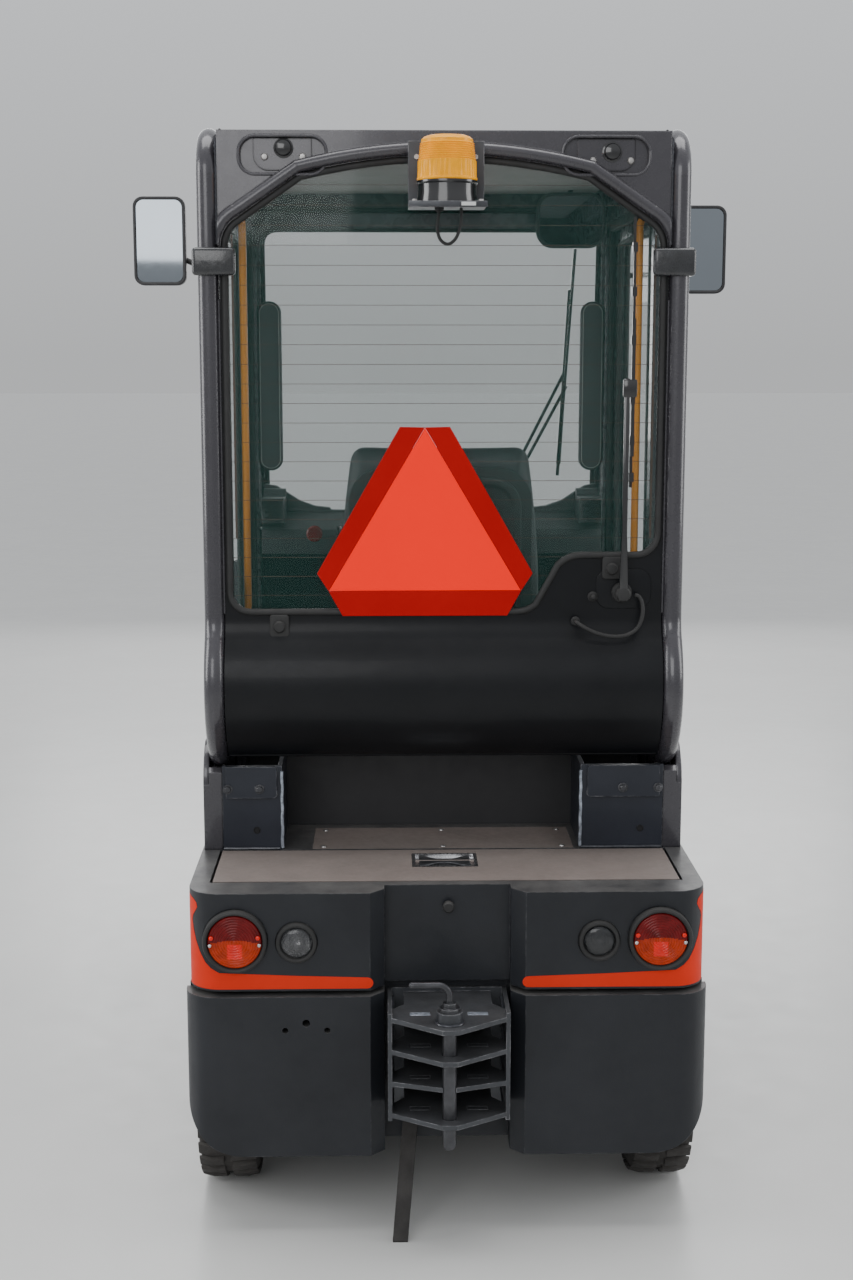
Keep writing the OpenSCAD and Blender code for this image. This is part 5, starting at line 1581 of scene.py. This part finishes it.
@dataclass
class Seat(Assembly):
    """Seat with two stuffed pads, a moulded shell, rails, a lever and a belt buckle."""

    half: float = 216
    hood: float = 860
    voxel: float = 0.0075
    seam_width: float = 0.007
    shoulder: float = 0.008
    stuffing_frames: int = 14
    puff_limit: float = 0.006

    def build(self) -> None:
        """Builds the pads, the shell behind them and the rails below."""
        self.pads()
        self.shell()
        self.rails()

    def pads(self) -> None:
        """Builds the two stuffed pads."""
        z = self.hood + 31
        base = self.raw_pad("seat_cushion", (-self.half, -168, z), (self.half, 128, z + 84), 30)
        back = self.raw_pad("seat_backrest", (-self.half, -233, z + 2), (self.half, -180, 1452), 40)
        for pad in (base, back):
            self.puff(pad)
        self.groove(base, back)
        self.keep(base, Paint.SEAT, "seat_cover", stands_for=("seat_pads",), angle=70)
        self.keep(back, Paint.SEAT, "seat_cover", angle=70)

    def shell(self) -> None:
        """Builds the shell and its ribs."""
        shell = Bench.sheet("seat_shell", rounded((-168, self.hood + 14), (168, 1388), 62, 8), -260.3, -268)
        Bench.inset(shell, looks(BACKWARDS), 16, 0)
        Bench.inset(shell, looks(BACKWARDS, (0, 0, 1131), 10), 6, -5)
        Bench.round_off(shell, 4, 3)
        self.keep(shell, Paint.TRIM, "trim")
        ribs = [Bench.box(f"shell_rib_{k}", (-120, -266.5, 960 + 90 * k), (120, -262.2, 966 + 90 * k))
                for k in range(5)]
        self.group("seat_ribs", ribs, Paint.TRIM, "trim")

    def rails(self) -> None:
        """Builds the rails, the lever and the belt's buckle."""
        rails = [Bench.box(f"seat_rail_{x}", (x - 14, -200, self.hood + 0.3),
                           (x + 14, 96, self.hood + 14)) for x in (-205, 205)]
        route = [(205, 96, self.hood + 8), (226, 118, self.hood + 10), (232, 160, self.hood + 14)]
        lever = Bench.bead("seat_lever", route, 5.5, sides=3)
        self.group("seat_rails", [*rails, lever], Paint.CHASSIS, "trim")
        buckle = Bench.box("belt_buckle", (226, -150, self.hood + 20), (244, -116, self.hood + 110))
        Bench.round_off(buckle, 5, 3)
        self.keep(buckle, Paint.GLOSS, "trim")

    def raw_pad(self, name: str, low: Point, high: Point, radius: float) -> Piece:
        """Adds a pad's raw form, a well rounded box that is cut up evenly."""
        pad = Bench.box(name, low, high)
        Bench.round_off(pad, radius, 4)
        Bench.alone(pad)
        mesh = pad.modifiers.new("even", "REMESH")
        mesh.mode = "VOXEL"
        mesh.voxel_size = self.voxel
        bpy.ops.object.modifier_apply(modifier=mesh.name)
        return pad

    def puff(self, pad: Piece) -> None:
        """Stuffs a pad by pressing its cover outwards as cloth."""
        Bench.alone(pad)
        cloth = pad.modifiers.new("stuffing", "CLOTH")
        cloth.settings.quality = 4
        cloth.settings.use_pressure = True
        cloth.settings.uniform_pressure_force = 4.0
        cloth.settings.effector_weights.gravity = 0
        cloth.settings.tension_stiffness = 25
        cloth.settings.compression_stiffness = 25
        cloth.point_cache.frame_start = 1
        cloth.point_cache.frame_end = self.stuffing_frames
        scene = bpy.context.scene
        before = [v.co.copy() for v in pad.data.vertices]
        for step in range(1, self.stuffing_frames + 1):
            scene.frame_set(step)
        bpy.ops.object.modifier_apply(modifier=cloth.name)
        scene.frame_set(1)
        for vertex, old in zip(pad.data.vertices, before):
            move = vertex.co - old
            if move.length > self.puff_limit:
                vertex.co = old + move * (self.puff_limit / move.length)

    def groove(self, base: Piece, back: Piece) -> None:
        """Presses the stitched seams between the middle and the bolsters into the pads."""
        for vertex in base.data.vertices:
            place = vertex.co
            if place.z > 0.930:
                place.z -= self.pressed(abs(place.x), abs(place.y - 0.02), 0.138, 0.007, 0.008)
        for vertex in back.data.vertices:
            place = vertex.co
            if place.y > -0.205:
                place.y -= self.pressed(abs(place.x), abs(place.z - 1.22), 0.135, 0.006, 0.006)
            narrow = max(0.0, place.z - 1.12) / 0.33
            place.x *= 1 - 0.14 * narrow * narrow

    def pressed(self, across: float, along: float, half: float, seam: float, middle: float) -> float:
        """Tells how far a pad's cover is pressed in.

        Args:
            across: Distance from the pad's middle line.
            along: Distance from the seam that crosses the pad.
            half: Half width of the middle between the bolsters.
            seam: Depth of the seams.
            middle: Depth of the middle.

        Returns:
            The depth there, in metres like the rest.
        """
        nearest = min(abs(across - half), along if across < half else 1)
        sunk = middle if across < half - self.shoulder else 0
        return seam * math.exp(-(nearest / self.seam_width) ** 2) + sunk


@dataclass
class Dash(Assembly):
    """Dash top, instruments, switches, column shroud and the steering wheel's grip."""

    level: float = 1248
    foot: Point = (0, 432, 1060)
    lean: float = 62
    wheel: float = 165
    grip: float = 13.2
    knurls: int = 48
    knurl_height: float = 0.007

    def build(self) -> None:
        """Builds the dash from its top to the steering column."""
        self.top()
        self.vents()
        self.instruments()
        self.column()

    def top(self) -> None:
        """Builds the raised ends and the padded roll along the top."""
        wings = []
        for side in SIDES:
            outline = [(252, self.level + 0.3), (252, 1258), (290, 1262), (330, 1276), (362, 1297),
                       (388, 1313), (420, 1318), (420, self.level + 0.3)]
            wing = Bench.sheet(f"dash_wing_{side}", [(side * x, z) for x, z in outline], 531, 556)
            Bench.round_off(Bench.outward(wing), 5, 3)
            wings.append(wing)
        run = [(x, 536, self.level + 1 + 5 * math.cos(x / 70)) for x in range(-416, 417, 26)]
        roll = Bench.bead("dash_roll", run, 9, sides=4)
        self.group("dash_top", [*wings, roll], Paint.TRIM, "trim")

    def vents(self) -> None:
        """Builds the vent box at each end."""
        boxes = []
        for side in SIDES:
            x = side * 391
            box = Bench.box(f"dash_box_{side}", (x - 27, 418.2, 1229), (x + 27, 421.6, 1288))
            Bench.inset(box, looks(BACKWARDS), 5, -1)
            Bench.round_off(box, 1, 1)
            boxes.append(box)
            for k in range(3):
                z = 1240 + 14 * k
                boxes.append(Bench.box(f"vent_{side}_{k}", (x - 20, 416.8, z), (x + 20, 418.4, z + 6)))
        self.group("dash_boxes", boxes, Paint.GLOSS, "trim")

    def instruments(self) -> None:
        """Builds the display, the switches and the stop button."""
        panel = Bench.box("display_case", (96, 438, 1172), (232, 449.6, 1236))
        Bench.inset(panel, looks(BACKWARDS), 8, -3)
        Bench.round_off(panel, 2.5, 2)
        self.keep(panel, Paint.TRIM, "trim")
        screen = Bench.box("display_pane", (106, 440.2, 1182), (222, 441, 1226))
        Bench.round_off(screen, 0.3, 1)
        self.keep(screen, Paint.GLOSS, "trim")
        rockers = []
        for k in range(5):
            x = -236 + 34 * k
            rocker = Bench.box(f"rocker_{k}", (x, 443.5, 1180), (x + 24, 449.6, 1222))
            Bench.push(rocker, looks(BACKWARDS), (0, -2, 0))
            Bench.round_off(rocker, 1.8, 2)
            rockers.append(rocker)
        self.group("dash_rockers", rockers, Paint.GLOSS, "trim")
        profile = ((0, 0.2), (14, 0.2), (14, 8), (20, 10), (20, 18), (16, 21), (0, 22))
        button = Bench.lathe("stop_button", profile, (-290, 449.8, 1202), Axis.BACK, 32)
        self.keep(button, Paint.LENS_RED, "lamp")

    def column(self) -> None:
        """Builds the shroud, the stalk and the wheel's grip, all on the leaning column."""
        lean = Matrix.Translation(mm(*self.foot)) @ Matrix.Rotation(math.radians(self.lean), 4, "X")
        profile = ((26.4, 12), (40, 12), (44, 20), (40, 80), (34, 112), (26.4, 112))
        shroud = Bench.lathe("column_shroud", profile, (0, 0, 0), Axis.Z, 40)
        shroud.data.transform(lean)
        self.keep(shroud, Paint.TRIM, "trim")
        stalk = Bench.bead("column_stalk", [(-30, 0, 92), (-90, -8, 96), (-118, -10, 104)], 5, sides=3)
        knob = Bench.ball("stalk_knob", (9, 9, 9), (-122, -10, 105), 16)
        both = Bench.together("direction_stalk", [stalk, knob])
        both.data.transform(lean)
        self.keep(both, Paint.GLOSS, "trim")
        ring = arc((self.wheel, 122), self.grip, 0, 345, 23)
        grip = Bench.lathe("wheel_grip", ring, (0, 0, 0), Axis.Z, 144)
        for vertex in grip.data.vertices:
            turn = math.atan2(vertex.co.y, vertex.co.x)
            reach = Vector((vertex.co.x, vertex.co.y))
            inner = max(0.0, self.wheel / MM_PER_M - reach.length) / (self.grip / MM_PER_M)
            reach *= 1 + self.knurl_height * inner * ripple(turn, self.knurls)
            vertex.co.x, vertex.co.y = reach.x, reach.y
        profile = ((0, 120.3), (40, 120.3), (44, 124), (44, 133), (38, 140), (24, 143), (0, 144))
        hub = Bench.lathe("wheel_hub", profile, (0, 0, 0), Axis.Z, 48)
        outline = ((34, -18), (60, -12), (156, -15), (156, 15), (60, 12), (34, 18))
        spokes = []
        for start in (90, 210, 330):
            spoke = Bench.sheet(f"spoke_{start}", outline, 120.5, 129, "Z")
            Bench.round_off(spoke, 3.5, 3)
            spoke.data.transform(Matrix.Rotation(math.radians(start), 4, "Z"))
            spokes.append(spoke)
        profile = ((0, 135), (6, 135), (7, 150), (17, 156), (20, 168), (16, 180), (0, 184))
        spinner = Bench.lathe("wheel_spinner", profile, (-116, 116, 0), Axis.Z, 28)
        wheel = Bench.together("hand_wheel_grip", [grip, hub, *spokes, spinner])
        wheel.data.transform(lean)
        self.keep(wheel, Paint.TRIM, "trim", Body.HAND_WHEEL, ("steering_wheel",), 45)


@dataclass
class Cabin(Assembly):
    """Pillar pads with pale welts that paint a highlight along their edges, headlining, floor mat, bent grab
    rails and door rubbers.
    """

    def build(self) -> None:
        """Builds the cab's lining."""
        pads, highlight_welts = [], []
        for side in SIDES:
            lo, hi = sorted((side * 370, side * 429.6))
            outline = rounded((lo, 1352), (hi, 1768), 29, 8)
            pad = Bench.sheet(f"pillar_pad_{side}", outline, 512, 540)
            Bench.round_off(pad, 8, 4)
            pads.append(pad)
            # A pale bead just inside each pad's edge is a painted highlight, standing in for light caught by
            # the pad's rounded edge.
            highlight_welt = [(x, 513.2, z) for x, z in inward(outline, 6.5)]
            highlight_welts.append(Bench.bead(f"pillar_welt_{side}", highlight_welt, 1.4, closed=True, sides=1))
        self.group("pillar_pads", pads, Paint.SEAT, "seat_cover")
        self.group("pillar_highlight_welts", highlight_welts, Paint.LINING, "seat_cover")
        self.seals()
        lining = Bench.box("headlining", (-400, -440, 2026.5), (400, 520, 2029.6))
        Bench.inset(lining, looks(DOWNWARDS), 30, -1)
        self.keep(lining, Paint.LINING, "trim")
        mat = Bench.box("floor_mat", (-396, 68, 200.3), (396, 282, 206))
        Bench.round_off(mat, 1.5, 1)
        studs = [Bench.box(f"mat_rib_{k}", (-388, 74 + 12 * k, 205.6), (388, 79 + 12 * k, 207.4))
                 for k in range(17)]
        self.group("floor_mat", [mat, *studs], Paint.RUBBER, "rubber")
        self.rails()

    def rails(self) -> None:
        """Builds the bent grab rails beside the doors, with a flange at each end."""
        low, high, bend, y, wall = 1088, 1922, 24, -193, 439.5
        bars, flanges = [], []
        for side, x in ((-1, 405.5), (1, 413)):
            path = [(wall, high), *arc((x + bend, high - bend), bend, 90, 180, 6),
                    *arc((x + bend, low + bend), bend, 180, 270, 6), (wall, low)]
            bars.append(Bench.bead(f"rail_{side}", [(side * p, y, q) for p, q in path], 7.8, sides=5))
            for z in (low, high):
                profile = ((7, 0), (17, 0), (17, 3), (11, 5), (7, 5))
                plate = Bench.lathe(f"flange_{side}_{z}", profile, (-wall, y, z), Axis.X, 28)
                if side > 0:
                    Bench.flip(plate)
                flanges.append(plate)
        self.group("bent_rails", bars, Paint.YELLOW, "yellow", stands_for=("grab_rails",))
        self.group("rail_flanges", flanges, Paint.YELLOW, "yellow")

    def seals(self) -> None:
        """Builds the rubber lips that close the gaps round the doors and over the windscreen."""
        lips = []
        for side in SIDES:
            for name, low, high in (("top", (-158, 1934), (508, 1957)), ("rear", (-171, 246), (-146, 1950)),
                                    ("front", (497, 246), (512, 1950)), ("sill", (-158, 241), (508, 262))):
                lips.append(Bench.box(f"lip_{name}_{side}", (side * 438, *low), (side * 452.5, *high)))
        for lip in lips:
            Bench.round_off(lip, 3, 2)
        lips.append(Bench.bead("header_rubber", [(x, 545, 1988.5) for x in range(-462, 463, 66)], 6.2,
                               sides=3))
        self.group("door_rubbers", lips, Paint.RUBBER, "rubber")


@dataclass
class Doors(Assembly):
    """Glass rubbers, pressings, handles, locks and hinge bolts of both doors."""

    out: float = 478
    back: float = -158
    front: float = 505

    def build(self) -> None:
        """Builds the right door's fittings and mirrors them for the left."""
        for side, name, body in ((1, "right", Body.DOOR_RIGHT), (-1, "left", Body.DOOR_LEFT)):
            for piece, finish, slot in self.fittings():
                if side < 0:
                    Bench.flip(piece)
                piece.name = f"{piece.name}_{name}"
                self.keep(piece, finish, slot, body)

    def fittings(self) -> list[tuple[Piece, Finish, str]]:
        """Builds one door's fittings on the right side.

        Returns:
            Each piece with its finish and its material slot.
        """
        ring = rounded((self.back + 44, 900), (self.front - 44, 1906), 30, 6)
        seals = [Bench.bead(f"door_seal_{x}", [(x, y, z) for y, z in inward(ring, 3)], 6.5, True, 3)
                 for x in (self.out - 1.5, self.out - 20)]
        pressing = rounded((-96, 318), (440, 830), 40, 6)
        swage = Bench.bead("door_swages", [(self.out + 0.2, y, z) for y, z in pressing], 2.2, True, 2)
        base = Bench.sheet("handle_base", rounded((455, 1000), (495, 1142), 10), self.out + 0.2,
                           self.out + 4, "X")
        Bench.round_off(base, 1.5, 2)
        route = ((self.out + 3, 473, 1014), (self.out + 22, 473, 1020), (self.out + 28, 473, 1040),
                 (self.out + 28, 473, 1104), (self.out + 22, 473, 1122), (self.out + 3, 473, 1128))
        grip = Bench.bead("handle_grip", route, 7.5, sides=4)
        profile = ((0, 0), (9, 0), (9, 4), (7, 6), (0, 6))
        lock = Bench.lathe("lock", profile, (self.out + 3, 486, 984), Axis.X, 24)
        route = ((self.out - 24, 440, 960), (self.out - 44, 440, 966), (self.out - 46, 300, 966),
                 (self.out - 24, 300, 960))
        inner = Bench.bead("door_pull", route, 7, sides=3)
        bolts = []
        for z in (460, 1100, 1740):
            for step in (16, 54):
                profile = ((0, 0), (6, 0), (6, 2), (4, 3.4), (0, 3.6))
                bolts.append(Bench.lathe(f"hinge_bolt_{z}_{step}", profile,
                                         (self.out + 0.1, -128, z + step), Axis.X, 16))
            plate = Bench.sheet(f"hinge_leaf_{z}", rounded((-150, z + 2), (-112, z + 68), 6),
                                self.out - 1, self.out + 2.2, "X")
            Bench.round_off(plate, 0.8, 1)
            bolts.append(plate)
        return [(Bench.together("door_seals", seals), Paint.RUBBER, "rubber"),
                (swage, Paint.CAB, "cab_paint"), (Bench.together("door_handle", [base, grip, lock]),
                                                  Paint.GLOSS, "trim"), (inner, Paint.YELLOW, "yellow"),
                (Bench.together("door_hinge_bolts", bolts), Paint.CAB, "cab_paint")]


@dataclass
class Front(Assembly):
    """Headlamp lenses, grille and seam of the nose, and the windscreen's rubber."""

    face: float = 896
    screen_foot: Point = (0, 650, 1206)
    screen_lean: float = 6.535

    def build(self) -> None:
        """Builds the front's fittings."""
        for side, name in NAMED_SIDES:
            at = (side * 330, self.face, 540)
            profile = ((58, -2), (65, -2), (65, 6), (62, 9.5), (59, 9), (58, 6))
            bezel = Bench.lathe("head_bezel_" + name, profile, at, Axis.Y, 56)
            dome = [(58 * math.cos(t), 8.4 + 7 * math.sin(t))
                    for t in [math.pi / 2 * k / 8 for k in range(9)]]
            lens = Bench.lathe("head_lens_" + name, [*dome, (0, 8.3), (58, 8.3)], at, Axis.Y, 56)
            self.keep(bezel, Paint.RUBBER, "rubber")
            self.keep(lens, Paint.LENS_HEAD, "headlamp", angle=60)
            profile = ((0, 8.02), (19, 8.02), (19, 8.2), (0, 8.2))
            bulb = Bench.lathe("head_bulb_" + name, profile, at, Axis.Y, 40)
            self.keep(bulb, Paint.GLOSS, "headlamp")
        slats = [Bench.box(f"slat_{k}", (-150, self.face - 3, 430 + 18 * k),
                           (150, self.face + 2.5, 439 + 18 * k)) for k in range(7)]
        edge = rounded((-162, 418), (162, 562), 16)
        rim = Bench.bead("grille_rim", [(x, self.face + 1, z) for x, z in edge], 4, True, 2)
        self.group("nose_grille", [*slats, rim], Paint.TRIM, "trim")
        seam = Bench.bead("nose_seams", [(x, self.face + 0.4, 616) for x in range(-300, 301, 50)], 1.4,
                          sides=1)
        self.keep(seam, Paint.CHASSIS, "trim")
        ring = rounded((-422, 24), (422, 746), 40)
        turn = Matrix.Rotation(math.radians(self.screen_lean), 4, "X")
        lean = Matrix.Translation(mm(*self.screen_foot)) @ turn
        rubber = Bench.bead("screen_rubber", [(x, -1, z) for x, z in inward(ring, 3)], 7.5, True, 3)
        rubber.data.transform(lean)
        self.keep(rubber, Paint.RUBBER, "rubber")


@dataclass
class RoofTop(Assembly):
    """Pressed ribs and edge beads on the roof."""

    def build(self) -> None:
        """Builds what shows from above."""
        ribs = []
        for x in (-240, -80, 80, 240):
            rib = Bench.sheet(f"roof_rib_{x}", rounded((x - 22, -380), (x + 22, 470), 20), 2054.2, 2059.2,
                              "Z")
            Bench.round_off(rib, 3.5, 3)
            ribs.append(rib)
        self.group("roof_ribs", ribs, Paint.CAB, "cab_paint")
        gutters = [Bench.bead(f"roof_gutter_{s}", [(s * 423, y, 2055) for y in range(-470, 541, 101)],
                              2.8, sides=2) for s in SIDES]
        self.group("roof_gutters", gutters, Paint.RUBBER, "rubber")


@dataclass
class Underneath(Assembly):
    """Sill treads, chassis bolts, axle bands and the strap's clamp."""

    def build(self) -> None:
        """Builds what shows low down and from below."""
        treads = []
        for side in SIDES:
            tread = Bench.box(f"sill_tread_{side}", (side * 441, -130, 242.2), (side * 484, 480, 243.6))
            Bench.inset(tread, looks(UPWARDS), 3, 0.8)
            treads.append(tread)
        self.group("sill_treads", treads, Paint.STEEL, "steel_worn")
        bolts = []
        for side in SIDES:
            for y in (-150, 60, 270, 470):
                bolts.append(Bench.rod(f"floor_bolt_{side}_{y}", 9, 6, (side * 440, y, 147.1), Axis.Z, 6))
        bands = [Bench.lathe(f"axle_band_{x}", ((82.2, -9), (87, -9), (87, 9), (82.2, 9)), (x, -510, 200),
                             Axis.X, 56) for x in (-150, 0, 150)]
        self.group("under_bolts", [*bolts, *bands], Paint.CHASSIS, "steel_dark")
        clamp = Bench.box("strap_clamp", (-88, -725, 219), (-46, -716.6, 232))
        Bench.round_off(clamp, 1, 1)
        self.keep(clamp, Paint.WORN_STEEL, "steel_worn")


@dataclass
class Coats(Assembly):
    """Finishes of the CAD nodes that keep their own shape."""

    def build(self) -> None:
        """Dresses every node that shows."""
        for finish, nodes in (
                (Paint.BODY, ("rear_bumper", "rear_body", "nose", "front_bumper")),
                (Paint.CAB, ("rear_frame", "roof", "roof_beam", "side_frames", "front_frame", "door_left",
                             "door_right")),
                (Paint.PANEL, ("rear_panel",)),
                (Paint.FOOT, ("cab_feet",)),
                (Paint.COUPLING, ("hitch_frame", "beacon_mount")),
                (Paint.WORN_STEEL, ("tow_pin", "steer_fork")),
                (Paint.CHASSIS, ("chassis", "rear_axle", "battery")),
                (Paint.DECK, ("deck_lid", "deck_plate")),
                (Paint.RUBBER, ("window_seal", "pedals", "wipers", "mirrors")),
                (Paint.STRAP, ("static_strap",)),
                (Paint.TYRE, ("tyre_front", "tyre_rear_left", "tyre_rear_right")),
                (Paint.RIM, ("rim_front", "rim_rear_left", "rim_rear_right")),
                (Paint.GLASS, ("cab_glass", "door_glass_left", "door_glass_right")),
                (Paint.TRIM, ("console", "seat_hood", "seat_frame", "steering_wheel")),
                (Paint.SEAT, ("seat_pads",)),
                (Paint.AMBER, ("beacon_lens",)),
                (Paint.STEEL, ("headlamps",))):
            self.dress(finish, *nodes)


def main() -> None:
    """Builds the studio and every sub-assembly in order, and notes the sizes."""
    logging.basicConfig(level=logging.INFO, format="%(name)s %(message)s")
    Studio().build()
    for assembly in (Cords(), Coats(), Lamps(), Stripes(), RearWindow(), Emblem(), Tyres(), Hubs(),
                     Beacon(), Beam(), Wipers(), RearPanel(), PanelFittings(), FeetFittings(),
                     DeckFittings(), Coupling(), Mirrors(), Seat(), Dash(), Cabin(), Doors(), Front(),
                     RoofTop(), Underneath()):
        assembly.build()
        LOG.info("%s has %d pieces", type(assembly).__name__, len(assembly.made))
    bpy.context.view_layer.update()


if __name__ == "__main__":
    main()
